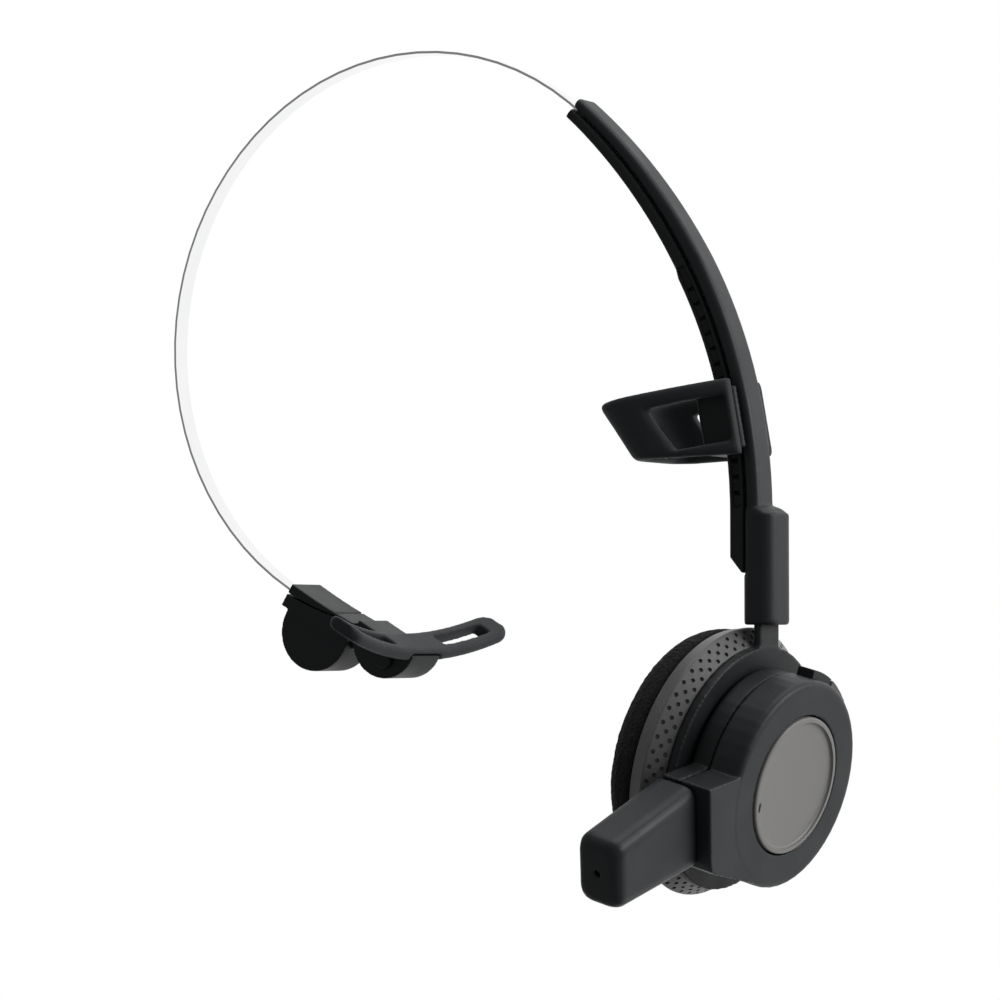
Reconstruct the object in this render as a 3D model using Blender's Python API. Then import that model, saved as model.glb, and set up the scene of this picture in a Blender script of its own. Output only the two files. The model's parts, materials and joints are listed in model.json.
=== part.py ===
"""Wireless single-ear office headset: sprung steel hoop, arm with a sliding head support,
turning T-bar, and an ear cup whose drum and boom turn on the neck plate.

Frame: origin at the centre of the hoop, +X towards the ear cup, -Y forwards, +Z up.
The cup is drawn in a frame of its own: x backwards, y up, z out of the outer face.
"""

from math import asin, atan2, ceil, cos, hypot, pi, radians, sin, sqrt, tan

import bmesh
import bpy
from mathutils import Matrix, Vector

MM = 0.001

# Clearances
GAP = 0.3 * MM            # between pieces that touch
RUN = 0.35 * MM           # round a piece that slides or turns
SEAM = 0.02 * MM          # keeps two joined blocks' faces out of one plane

# Spring band
HOOP_RADIUS = 59.7 * MM
BAND_WIDTH = 4.2 * MM
BAND_THICKNESS = 0.5 * MM
BAND_IN_ARM = 13.0 * MM
BAND_IN_CARRIER = 8.4 * MM

# Arm: two arcs that leave the hoop and end upright
ARM_MOUTH_ANGLE = radians(49.5)
HOOP_END_ANGLE = radians(47.0)
UPPER_ARC_RADIUS = 121.0 * MM
UPPER_ARC_TURN = radians(18.6)
RACK_ARC_RADIUS = 105.0 * MM
ARM_WIDTH = 7.5 * MM
ARM_EDGE_RADIUS = 1.1 * MM
SHELL_AT_MOUTH = 2.4 * MM
SHELL_AT_RACK = 3.1 * MM
RAIL_AT_MOUTH = 2.4 * MM
RAIL_AT_RACK = 2.9 * MM
RAIL_STEP = 0.45 * MM
RAIL_CHAMFER = 3.1 * MM
ARM_STRAIGHT = 11.8 * MM  # upright run of the rail below the rack arc

# Rack slot for the head support, as angles up from the lower end of its arc
SLOT_LOW = radians(0.6)
SLOT_HIGH = radians(28.3)
SLOT_WIDTH = 1.6 * MM
SLOT_DEPTH = 0.7 * MM
SLOT_FROM_EDGE = 0.85 * MM
NOTCH_PITCH = 3.3 * MM
NOTCH_LENGTH = 0.6 * MM
NOTCH_DEPTH = 0.75 * MM

# Sleeve and neck
SLEEVE_OUTSET = 3.03 * MM  # sleeve axis outside the arm's centreline
SLEEVE_HALF_DEPTH = 3.7 * MM
SLEEVE_HALF_WIDTH = 4.5 * MM
SLEEVE_CORNER = 2.7 * MM
SLEEVE_LENGTH = 21.97 * MM  # below the rack arc's lower end
SLEEVE_SHOULDER = 2.0 * MM
STEM_WIDTH = 7.4 * MM
STEM_THICKNESS = 1.8 * MM
STEM_IN_SLEEVE = 17.0 * MM
NECK_PLATE_RADIUS = 24.8 * MM

# Ear cup pose
CUP_TOE = radians(-6.5)
CUP_TILT = radians(14.36)
BEND_DROP = 4.4 * MM      # neck's bend below the sleeve's rim
NECK_PLATE_DEPTH = 13.0 * MM

# Drum
DRUM_RADIUS = 21.0 * MM
DRUM_EDGE = 1.2 * MM
DRUM_WALL = 1.6 * MM
FRONT_DEPTH = 7.0 * MM
REAR_RADIUS = 20.0 * MM
BUTTON_RADIUS = 13.8 * MM
BUTTON_PROUD = 0.3 * MM
BUTTON_DISH = 0.6 * MM
BUTTON_THICKNESS = 1.8 * MM
BUTTON_TRAVEL = 0.7 * MM
PIVOT_RADIUS = 3.0 * MM

# Rim keys, as angles back from the top of the drum
KEY_ANGLES = {"volume_up_key": (5.5, 24.5), "power_key": (26.5, 45.5), "volume_down_key": (47.5, 66.5)}
KEY_PROUD = {"volume_up_key": 1.7 * MM, "power_key": 1.7 * MM, "volume_down_key": 1.7 * MM}
KEY_WIDTH = 3.8 * MM
KEY_DEPTH = 1.9 * MM
KEY_CENTRE_DEPTH = 4.4 * MM

# Boom, along its own axis from the cup axis
BOOM_DROOP = radians(21.5)
BOOM_START = 28.4 * MM
BOOM_LENGTH = 24.8 * MM
BOOM_ROOT_TOP = 10.75 * MM
BOOM_ROOT_BOTTOM = -6.75 * MM
BOOM_TIP_TOP = 9.0 * MM
BOOM_TIP_BOTTOM = -5.0 * MM
BOOM_FRONT = 3.0 * MM      # below the drum's face
BOOM_THICKNESS = 10.0 * MM
BOOM_CORNER = 2.5 * MM
BOOM_WALL = 1.5 * MM
MIC_HOLE_RADIUS = 0.7 * MM
MIC_DOWN = -2.0 * MM       # hole's place on the boom's end face
MIC_OUT = 0.0 * MM         # and from its middle, outwards

# Speaker side
RING_RADIUS = 27.3 * MM
RING_BACK_RADIUS = 24.5 * MM
RING_FRONT_RADIUS = 26.2 * MM
RING_HOLE = 5.6 * MM
NECK_RISE = -2.8 * MM      # neck's bend above the ring's widest circle
NECK_DROP = RING_RADIUS + NECK_RISE
RING_WALL = 1.5 * MM
RING_WIDEST = 3.2 * MM     # ring's widest circle behind its back face
RING_DEPTH = 6.7 * MM
CUSHION_RADIUS = 25.2 * MM
CUSHION_DEPTH = 8.0 * MM
CUSHION_HOLE = 9.5 * MM    # in the baffle behind the cushion
CUSHION_DISH = 2.5 * MM
DRIVER_RADIUS = 16.0 * MM
MAGNET_RADIUS = 9.0 * MM

# Carrier at the band's lower end
LUG_ANGLE = radians(-110.0)
# Where the lug sits on the hoop: the carrier and the T-bar's pin are placed from it
CARRIER_SEAT = Vector((HOOP_RADIUS * cos(LUG_ANGLE), 0, HOOP_RADIUS * sin(LUG_ANGLE)))
CARRIER_FROM_SEAT = Vector((-6.881, 0, 5.6)) * MM
LUG_FROM_SEAT = Vector((-1.581, 0, -4.5)) * MM
PIVOT_FROM_SEAT = Vector((15.819, 0, -9.9)) * MM
CARRIER_HEADING = radians(-32.0)
CARRIER_CORNER = CARRIER_SEAT + CARRIER_FROM_SEAT
CARRIER_START = (CARRIER_CORNER.x, CARRIER_CORNER.z, CARRIER_HEADING)
CARRIER_LENGTH = 18.6 * MM
CARRIER_BEND = radians(7.0)
CARRIER_THICK = 5.2 * MM
CARRIER_THIN = 3.7 * MM
CARRIER_START_ANGLE = radians(-119.0)
CAP_END_ANGLE = radians(-106.5)
CARRIER_WIDTH = 11.0 * MM
LUG_CENTRE = CARRIER_SEAT + LUG_FROM_SEAT
LUG_RADIUS = 8.2 * MM

# T-bar
PIVOT = CARRIER_SEAT + PIVOT_FROM_SEAT
TBAR_TILT = radians(30.0)
TBAR_SWING = radians(12.0)
TONGUE_WIDTH = 5.0 * MM
TONGUE_THICKNESS = 2.0 * MM
EYE_RADIUS = 2.1 * MM
HUB_RADIUS = 7.6 * MM
HUB_SHIFT = -1.7 * MM      # hub's centre from the pin, along the pad
HUB_RISE = 2.94 * MM       # and above the pin
PIN_RADIUS = 1.2 * MM
PIN_HEAD_RADIUS = 2.2 * MM
PIN_HEAD = 0.8 * MM
TBAR_HALF_LENGTH = 30.6 * MM
TBAR_SAG = 4.8 * MM
TBAR_MID_HALF = 4.26 * MM
TBAR_TIP_HALF = 4.0 * MM
TBAR_THICKNESS = 2.8 * MM
TBAR_SKIN = 0.9 * MM       # pad over the hub
TBAR_OFFSET = 1.7 * MM    # pad's middle line from the pin
TBAR_TOP = 5.0 * MM       # pad's inner face above the pin
TBAR_WINDOW = (9.5 * MM, 26.0 * MM)
TBAR_FRAME = 2.4 * MM

# Head support on the arm
SUPPORT_ANGLE = radians(10.27)
SADDLE_WALL = 1.3 * MM
SADDLE_WEB = 3.6 * MM
SADDLE_HALF_HEIGHT = 6.2 * MM
SADDLE_BACK = 1.4 * MM
TAB_LENGTH = 7.0 * MM
LOOP_DEPTH = 25.6 * MM
LOOP_WALL = 3.0 * MM
LOOP_CORNER = 7.0 * MM
LOOP_ROOT_Y = 6.4 * MM
LOOP_ROOT_TURN = radians(20.0)
LOOP_NOSE_TURN = radians(0.0)
LOOP_ROOT_HIGH = 7.75 * MM
LOOP_ROOT_LOW = -7.75 * MM
LOOP_NOSE_HIGH = 8.2 * MM
LOOP_NOSE_LOW = -4.6 * MM
LOOP_SLANT = 0.56
WINDOW_HALF_HEIGHT = 4.6 * MM
WINDOW_ROOT = 0.2 * MM
WINDOW_NOSE = -13.5 * MM
WINDOW_SLANT = 2.4 * MM
NOSE_WINDOW = 7.0 * MM

# Screws
SCREW_RADIUS = 0.8 * MM
SCREW_HEAD_RADIUS = 1.5 * MM
SCREW_HEAD = 0.8 * MM

ROUND = 48
SMALL = 16
SWEEP_STEP = 3.0 * MM

BLACK_PLASTIC = ((0.012, 0.013, 0.014), 0.55, 0.0)
SIDE_PLASTIC = ((0.022, 0.023, 0.024), 0.5, 0.0)
GREY_PLASTIC = ((0.18, 0.178, 0.175), 0.45, 0.0)
RING_PLASTIC = ((0.1, 0.099, 0.098), 0.5, 0.0)
SOFT_RUBBER = ((0.02, 0.021, 0.022), 0.7, 0.0)
FOAM = ((0.006, 0.006, 0.006), 0.95, 0.0)
CLOTH = ((0.01, 0.01, 0.01), 0.9, 0.0)
STEEL = ((0.75, 0.75, 0.76), 0.12, 1.0)
DARK_STEEL = ((0.25, 0.25, 0.26), 0.35, 1.0)
BOARD = ((0.01, 0.09, 0.04), 0.5, 0.0)
FOIL = ((0.35, 0.37, 0.4), 0.35, 0.6)


def clear_scene():
    for obj in list(bpy.data.objects):
        bpy.data.objects.remove(obj, do_unlink=True)


def material(name, finish):
    """A Principled material with the colour, roughness and metallic value of a finish."""
    made = bpy.data.materials.new(name)
    made.use_nodes = True
    shader = made.node_tree.nodes["Principled BSDF"]
    colour, roughness, metallic = finish
    shader.inputs["Base Color"].default_value = (*colour, 1.0)
    shader.inputs["Roughness"].default_value = roughness
    shader.inputs["Metallic"].default_value = metallic
    made.diffuse_color = (*colour, 1.0)
    return made


def empty(name, place, parent=None):
    """An empty on a joint's axis. Its matrix is given in world space."""
    obj = bpy.data.objects.new(name, None)
    bpy.context.scene.collection.objects.link(obj)
    obj.empty_display_size = 0.005
    obj.parent = parent
    if parent:
        obj.matrix_parent_inverse = parent.matrix_world.inverted()
    obj.matrix_world = place
    bpy.context.view_layer.update()
    return obj


def solid(name, bm, finish, joint=None):
    """A closed mesh in world space as a named object, moved with its joint's empty."""
    bmesh.ops.remove_doubles(bm, verts=bm.verts, dist=1e-7)
    bmesh.ops.recalc_face_normals(bm, faces=bm.faces)
    place = joint.matrix_world.copy() if joint else Matrix()
    bm.transform(place.inverted())
    mesh = bpy.data.meshes.new(name)
    bm.to_mesh(mesh)
    bm.free()
    mesh.shade_smooth()
    mesh.set_sharp_from_angle(angle=radians(35))
    obj = bpy.data.objects.new(name, mesh)
    bpy.context.scene.collection.objects.link(obj)
    obj.data.materials.append(material(name, finish))
    obj.parent = joint
    bpy.context.view_layer.update()
    return obj


def cutter(name, bm):
    """A hidden helper for a Boolean, in world space."""
    obj = solid(name, bm, BLACK_PLASTIC)
    obj.hide_render = True
    obj.display_type = "WIRE"
    return obj


def combine(obj, *tools, operation="DIFFERENCE"):
    for tool in tools:
        modifier = obj.modifiers.new(tool.name, "BOOLEAN")
        modifier.operation = operation
        modifier.object = tool
        modifier.solver = "EXACT"
    return obj


def loft(rings, closed=False):
    """Skins rings of equally many points. Open ends are capped."""
    bm = bmesh.new()
    made = [[bm.verts.new(point) for point in ring] for ring in rings]
    count = len(made[0])
    pairs = list(zip(made, made[1:])) + ([(made[-1], made[0])] if closed else [])
    for low, high in pairs:
        for i in range(count):
            j = (i + 1) % count
            bm.faces.new((low[i], low[j], high[j], high[i]))
    if not closed:
        bm.faces.new(made[0][::-1])
        bm.faces.new(made[-1])
    return bm


def rounded_rect(low, high, radius, steps=3):
    """Corner-rounded rectangle between two opposite corners, counter-clockwise."""
    radius = min(radius, (high[0] - low[0]) * 0.49, (high[1] - low[1]) * 0.49)
    centres = (
        (high[0] - radius, high[1] - radius, 0.0),
        (low[0] + radius, high[1] - radius, 0.5 * pi),
        (low[0] + radius, low[1] + radius, pi),
        (high[0] - radius, low[1] + radius, 1.5 * pi),
    )
    return [
        (x + radius * cos(start + 0.5 * pi * i / steps), y + radius * sin(start + 0.5 * pi * i / steps))
        for x, y, start in centres
        for i in range(steps + 1)
    ]


def extrude(outline, low, high, place):
    """A prism of an (x, y) outline between two heights along the place's z."""
    return loft([[place @ Vector((x, y, z)) for x, y in outline] for z in (low, high)])


def box(low, high, place):
    outline = ((low[0], low[1]), (high[0], low[1]), (high[0], high[1]), (low[0], high[1]))
    return extrude(outline, low[2], high[2], place)


def disc(radius, low, high, place, segments=ROUND):
    ring = [(radius * cos(2 * pi * i / segments),
            radius * sin(2 * pi * i / segments)) for i in range(segments)]
    return extrude(ring, low, high, place)


def turned(profile, place, segments=ROUND):
    """A ring of revolution about the place's z. The closed profile is (radius, height)."""
    rings = []
    for i in range(segments):
        angle = 2 * pi * i / segments
        rings.append([place @ Vector((r * cos(angle), r * sin(angle), z)) for r, z in profile])
    return loft(rings, closed=True)


def turned_solid(profile, place, segments=ROUND):
    """A solid of revolution. The profile runs from one point on the axis to another."""
    bm = bmesh.new()
    ends = [bm.verts.new(place @ Vector((0, 0, profile[k][1]))) for k in (0, -1)]
    rings = []
    for r, z in profile[1:-1]:
        rings.append([bm.verts.new(place @ Vector((r * cos(a), r * sin(a), z)))
                      for a in (2 * pi * i / segments for i in range(segments))])
    for i in range(segments):
        j = (i + 1) % segments
        bm.faces.new((ends[0], rings[0][i], rings[0][j]))
        bm.faces.new((ends[1], rings[-1][j], rings[-1][i]))
        for low, high in zip(rings, rings[1:]):
            bm.faces.new((low[i], high[i], high[j], low[j]))
    return bm


def screw(name, place, length):
    """A pan-head screw, driven along the place's -z with its head seated at z = 0."""
    profile = [(0, SCREW_HEAD), (SCREW_HEAD_RADIUS * 0.7, SCREW_HEAD), (SCREW_HEAD_RADIUS,
            SCREW_HEAD * 0.5),
               (SCREW_HEAD_RADIUS, 0), (SCREW_RADIUS, 0), (SCREW_RADIUS, -length + SCREW_RADIUS),
               (SCREW_RADIUS * 0.4, -length), (0, -length)]
    obj = solid(name, turned_solid(profile, place, SMALL), DARK_STEEL)
    recess = box((-0.9 * MM, -0.2 * MM, SCREW_HEAD * 0.5), (0.9 * MM, 0.2 * MM, SCREW_HEAD * 2), place)
    return combine(obj, cutter(name + "_recess", recess))


def screw_hole(name, place, length):
    """Clearance for a screw: shank hole and counterbore, seated GAP under the head."""
    profile = [(0, 12 * MM), (SCREW_HEAD_RADIUS + GAP, 12 * MM), (SCREW_HEAD_RADIUS + GAP, -GAP),
               (SCREW_RADIUS + GAP, -GAP), (SCREW_RADIUS + GAP, -length - GAP), (0, -length - GAP)]
    return cutter(name, turned_solid(profile, place, SMALL))


# The hoop and arm's centreline -------------------------------------------------------------

RACK_TURN = pi / 2 - (pi / 2 - HOOP_END_ANGLE) - UPPER_ARC_TURN
MOUTH_RUN = HOOP_RADIUS * (ARM_MOUTH_ANGLE - HOOP_END_ANGLE)
UPPER_RUN = UPPER_ARC_RADIUS * UPPER_ARC_TURN
RACK_RUN = RACK_ARC_RADIUS * RACK_TURN
RACK_START = MOUTH_RUN + UPPER_RUN
RACK_END = RACK_START + RACK_RUN
RAIL_END = RACK_END + ARM_STRAIGHT


def arc_step(x, z, heading, radius, turn):
    """Where a clockwise arc of this turn leads from (x, z) with this heading."""
    after = heading - turn
    return x + radius * (sin(heading) - sin(after)), z + radius * (cos(after) - cos(heading)), after


def hoop_frame(run):
    """(x, z, heading) of the centreline, run mm below the arm's mouth, negative back over the hoop."""
    if run <= MOUTH_RUN:
        angle = ARM_MOUTH_ANGLE - run / HOOP_RADIUS
        return HOOP_RADIUS * cos(angle), HOOP_RADIUS * sin(angle), angle - pi / 2
    state = (HOOP_RADIUS * cos(HOOP_END_ANGLE), HOOP_RADIUS * sin(HOOP_END_ANGLE), HOOP_END_ANGLE - pi / 2)
    run -= MOUTH_RUN
    for radius, length in ((UPPER_ARC_RADIUS, UPPER_RUN), (RACK_ARC_RADIUS, RACK_RUN)):
        part = min(run, length)
        state = arc_step(*state, radius, part / radius)
        run -= part
        if run <= 0:
            return state
    x, z, heading = state
    return x + run * cos(heading), z + run * sin(heading), heading


def hoop_place(run):
    """Matrix on the centreline: x outwards, y along +Y, z back up the run."""
    x, z, heading = hoop_frame(run)
    out = Vector((-sin(heading), 0, cos(heading)))
    up = Vector((-cos(heading), 0, -sin(heading)))
    place = Matrix((out, Vector((0, 1, 0)), up)).transposed().to_4x4()
    place.translation = Vector((x, 0, z))
    return place


def swept(section, start, end, step=SWEEP_STEP, extra=()):
    """A beam along the centreline. section(run) gives its (outward, y) outline."""
    count = max(2, ceil(abs(end - start) / step) + 1)
    runs = sorted({round(start + (end - start) * i / (count - 1), 7) for i in range(count)} | set(extra))
    return loft([[hoop_place(run) @ Vector((out, y, 0)) for out, y in section(run)] for run in runs])


def plain_section(inner, outer, half, radius=0.0):
    outline = rounded_rect((inner, -half), (outer, half), radius) if radius else (
        (inner, -half), (outer, -half), (outer, half), (inner, half))
    return lambda run: outline


def taper(run, at_mouth, at_rack):
    share = min(max(run / RACK_START, 0.0), 1.0)
    return at_mouth + (at_rack - at_mouth) * share


def shell_section(run):
    return rounded_rect((GAP / 2, -ARM_WIDTH / 2), (taper(run, SHELL_AT_MOUTH, SHELL_AT_RACK),
            ARM_WIDTH / 2),
                        ARM_EDGE_RADIUS)


def rail_depth(run):
    depth = taper(run, RAIL_AT_MOUTH, RAIL_AT_RACK)
    if run > RACK_START:
        depth += RAIL_STEP * min((run - RACK_START) / (2 * MM), 1.0)
    below = run - (RAIL_END - RAIL_CHAMFER)
    return depth - max(below, 0.0) * (depth - 0.6 * MM) / RAIL_CHAMFER


def rail_section(run):
    return rounded_rect((-rail_depth(run), -ARM_WIDTH / 2), (-GAP / 2, ARM_WIDTH / 2),
            ARM_EDGE_RADIUS * 0.7)


# Frames of the cup, the T-bar and the head support --------------------------------------------

RACK_X, RACK_Z, _ = hoop_frame(RACK_END)
RACK_CENTRE = Vector((RACK_X - RACK_ARC_RADIUS, 0, RACK_Z))
SLEEVE_X = RACK_X + SLEEVE_OUTSET
SLEEVE_TOP = RACK_Z + 1.7 * MM
SLEEVE_BOTTOM = RACK_Z - SLEEVE_LENGTH
SLEEVE_PLACE = Matrix.Translation((SLEEVE_X, 0, SLEEVE_BOTTOM)) @ Matrix.Rotation(CUP_TOE, 4, "Z")
CUP_AXES = (Matrix.Rotation(CUP_TOE, 4, "Z") @ Matrix.Rotation(CUP_TILT, 4, "Y")
            @ Matrix(((0, 0, 1), (1, 0, 0), (0, 1, 0))).to_4x4())
BEND = Vector((SLEEVE_X, 0, SLEEVE_BOTTOM - BEND_DROP))
CUP_ORIGIN = BEND - CUP_AXES @ Vector((0, NECK_DROP, -NECK_PLATE_DEPTH))
CUP = Matrix.Translation(CUP_ORIGIN) @ CUP_AXES
BOOM = CUP @ Matrix.Rotation(pi + BOOM_DROOP, 4, "Z")   # x along the boom, y down, z out


def around(angle, radius=HOOP_RADIUS):
    return Vector((radius * cos(angle), 0, radius * sin(angle)))


TBAR = Matrix.Translation(PIVOT) @ Matrix.Rotation(TBAR_TILT, 4, "Y")   # x along, z inwards
SUPPORT_POINT = RACK_CENTRE + around(SUPPORT_ANGLE, RACK_ARC_RADIUS)
SUPPORT = Matrix.Translation(SUPPORT_POINT) @ Matrix.Rotation(-SUPPORT_ANGLE, 4, "Y")   # x outwards, z up
# Turned so that a shape's z axis lies along +Y
ALONG_Y = Matrix.Rotation(-pi / 2, 4, "X")


# Headband -------------------------------------------------------------------------------------

def band():
    start = -HOOP_RADIUS * (2 * pi + CARRIER_START_ANGLE - ARM_MOUTH_ANGLE) - BAND_IN_CARRIER
    section = plain_section(-BAND_THICKNESS / 2, BAND_THICKNESS / 2, BAND_WIDTH / 2)
    obj = solid("band_spring", swept(section, start, BAND_IN_ARM, step=5 * MM), STEEL)
    combine(obj, screw_hole("band_arm_hole", arm_screw_place(ARM_SCREW_RUN), ARM_SCREW_LENGTH))
    return combine(obj, screw_hole("band_carrier_hole", carrier_screw_place(), CARRIER_SCREW_LENGTH))


ARM_SCREW_RUN = 9.0 * MM
LOW_SCREW_RUN = RACK_END + 2.6 * MM
ARM_SCREW_LENGTH = 3.1 * MM


def arm_screw_place(run):
    """On the rail's inner face, z pointing inwards out of the head."""
    seat = hoop_place(run) @ Matrix.Translation((-rail_depth(run) + SCREW_HEAD + GAP, 0, 0))
    return seat @ Matrix.Rotation(-pi / 2, 4, "Y")


def band_pocket(name, start, end):
    section = plain_section(-BAND_THICKNESS / 2 - GAP, BAND_THICKNESS / 2 + GAP, BAND_WIDTH / 2 + GAP)
    return cutter(name, swept(section, start, end))


def sleeve_blank():
    """The oval tube's outside. Its shoulder slopes into the arm's outer face."""
    rings = []
    shoulder = SLEEVE_TOP - SLEEVE_BOTTOM
    for height, outer, half in (
        (0, SLEEVE_HALF_DEPTH - 0.2 * MM, SLEEVE_HALF_WIDTH - 0.2 * MM),
        (0.6 * MM, SLEEVE_HALF_DEPTH, SLEEVE_HALF_WIDTH),
        (shoulder - SLEEVE_SHOULDER, SLEEVE_HALF_DEPTH, SLEEVE_HALF_WIDTH),
        (shoulder - 0.4 * SLEEVE_SHOULDER, 0.55 * SLEEVE_HALF_DEPTH, ARM_WIDTH / 2 + 0.5 * MM),
        (shoulder, 0.0, ARM_WIDTH / 2 - ARM_EDGE_RADIUS),
    ):
        outline = rounded_rect((-SLEEVE_HALF_DEPTH + 0.2 * MM, -half), (outer, half), SLEEVE_CORNER, 5)
        rings.append([SLEEVE_PLACE @ Vector((x, y, height)) for x, y in outline])
    return cutter("sleeve_blank", loft(rings))


def arm():
    shell = solid("arm_outer_shell", swept(shell_section, 0, RAIL_END + 1.5 * MM), BLACK_PLASTIC)
    combine(shell, sleeve_blank(), operation="UNION")
    clearance = swept(plain_section(-9 * MM, GAP / 2, 7 * MM), RACK_START, RAIL_END + GAP)
    pocket = band_pocket("arm_band_pocket", -1 * MM, BAND_IN_ARM + GAP)
    stem_room = box((-STEM_THICKNESS / 2 - RUN, -STEM_WIDTH / 2 - RUN, -1 * MM),
                    (STEM_THICKNESS / 2 + RUN, STEM_WIDTH / 2 + RUN, STEM_IN_SLEEVE + GAP), SLEEVE_PLACE)
    holes = [screw_hole("arm_hole_%d" % k, arm_screw_place(run), ARM_SCREW_LENGTH)
             for k, run in enumerate((ARM_SCREW_RUN, LOW_SCREW_RUN))]
    combine(shell, cutter("rail_clearance", clearance), pocket, cutter("stem_room", stem_room), *holes)

    kinks = (RACK_START, RACK_START + 2 * MM, RAIL_END - RAIL_CHAMFER)
    rail = solid("arm_inner_rail", swept(rail_section, 0, RAIL_END, extra=kinks), SIDE_PLASTIC)
    combine(rail, pocket, *rack_cutters(), *holes)
    screw("arm_screw_top", arm_screw_place(ARM_SCREW_RUN), ARM_SCREW_LENGTH)
    screw("arm_screw_bottom", arm_screw_place(LOW_SCREW_RUN), ARM_SCREW_LENGTH)


def rack_run(angle):
    """Run along the centreline of a point this far up the rack arc from its lower end."""
    return RACK_END - RACK_ARC_RADIUS * angle


SLOT_INNER = -(RAIL_AT_RACK + RAIL_STEP - SLOT_FROM_EDGE)


def rack_cutters():
    """Groove on each side face, and the notches across it."""
    face = ARM_WIDTH / 2
    tools = []
    for side in (-1, 1):
        low, high = sorted((side * (face - SLOT_DEPTH), side * (face + 1 * MM)))
        outline = ((SLOT_INNER, low), (SLOT_INNER + SLOT_WIDTH, low),
                   (SLOT_INNER + SLOT_WIDTH, high), (SLOT_INNER, high))
        groove = swept(lambda run, line=outline: line, rack_run(SLOT_HIGH), rack_run(SLOT_LOW))
        tools.append(cutter("rack_groove_%d" % side, groove))
    count = int(RACK_ARC_RADIUS * (SLOT_HIGH - SLOT_LOW) / NOTCH_PITCH) - 1
    notches = bmesh.new()
    for k in range(1, count + 1):
        place = hoop_place(rack_run(SLOT_HIGH) + (k + 0.5) * NOTCH_PITCH)
        for side in (-1, 1):
            low, high = sorted((side * (face - SLOT_DEPTH - NOTCH_DEPTH),
                    side * (face - SLOT_DEPTH + 0.3 * MM)))
            notch = box((SLOT_INNER + 0.1 * MM, low, -NOTCH_LENGTH / 2),
                        (SLOT_INNER + SLOT_WIDTH - 0.1 * MM, high, NOTCH_LENGTH / 2), place)
            mesh = bpy.data.meshes.new("notch")
            notch.to_mesh(mesh)
            notch.free()
            notches.from_mesh(mesh)
    tools.append(cutter("rack_notches", notches))
    return tools


CARRIER_SCREW_LENGTH = 5.2 * MM
CARRIER_SCREW_SEAT = 4.5 * MM


def carrier_run(angle):
    """Run of a point at this angle round the hoop, past the carrier's start."""
    return -HOOP_RADIUS * (2 * pi + angle - ARM_MOUTH_ANGLE)


def carrier_screw_place():
    """Seat inside the lug, head facing outwards."""
    seat = hoop_place(carrier_run(LUG_ANGLE - radians(3.5))) @ Matrix.Translation((CARRIER_SCREW_SEAT,
            0, 0))
    return seat @ Matrix.Rotation(pi / 2, 4, "Y")


def carrier_outline():
    """(x, z) of the beam: a shallow arc on the head's side, and the outer edge under it."""
    inner, outer = [], []
    for k in range(9):
        share = k / 8
        turn = -CARRIER_BEND * share
        x, z, heading = arc_step(*CARRIER_START, -CARRIER_LENGTH / CARRIER_BEND, turn)
        depth = CARRIER_THICK + (CARRIER_THIN - CARRIER_THICK) * share
        inner.append((x, z))
        outer.append((x + depth * sin(heading), z - depth * cos(heading)))
    return inner + outer[::-1]


def flat_y(outline, half):
    """A prism of a world (x, z) outline, centred on the middle plane."""
    return extrude([(x, -z) for x, z in outline], -half, half, ALONG_Y)


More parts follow.
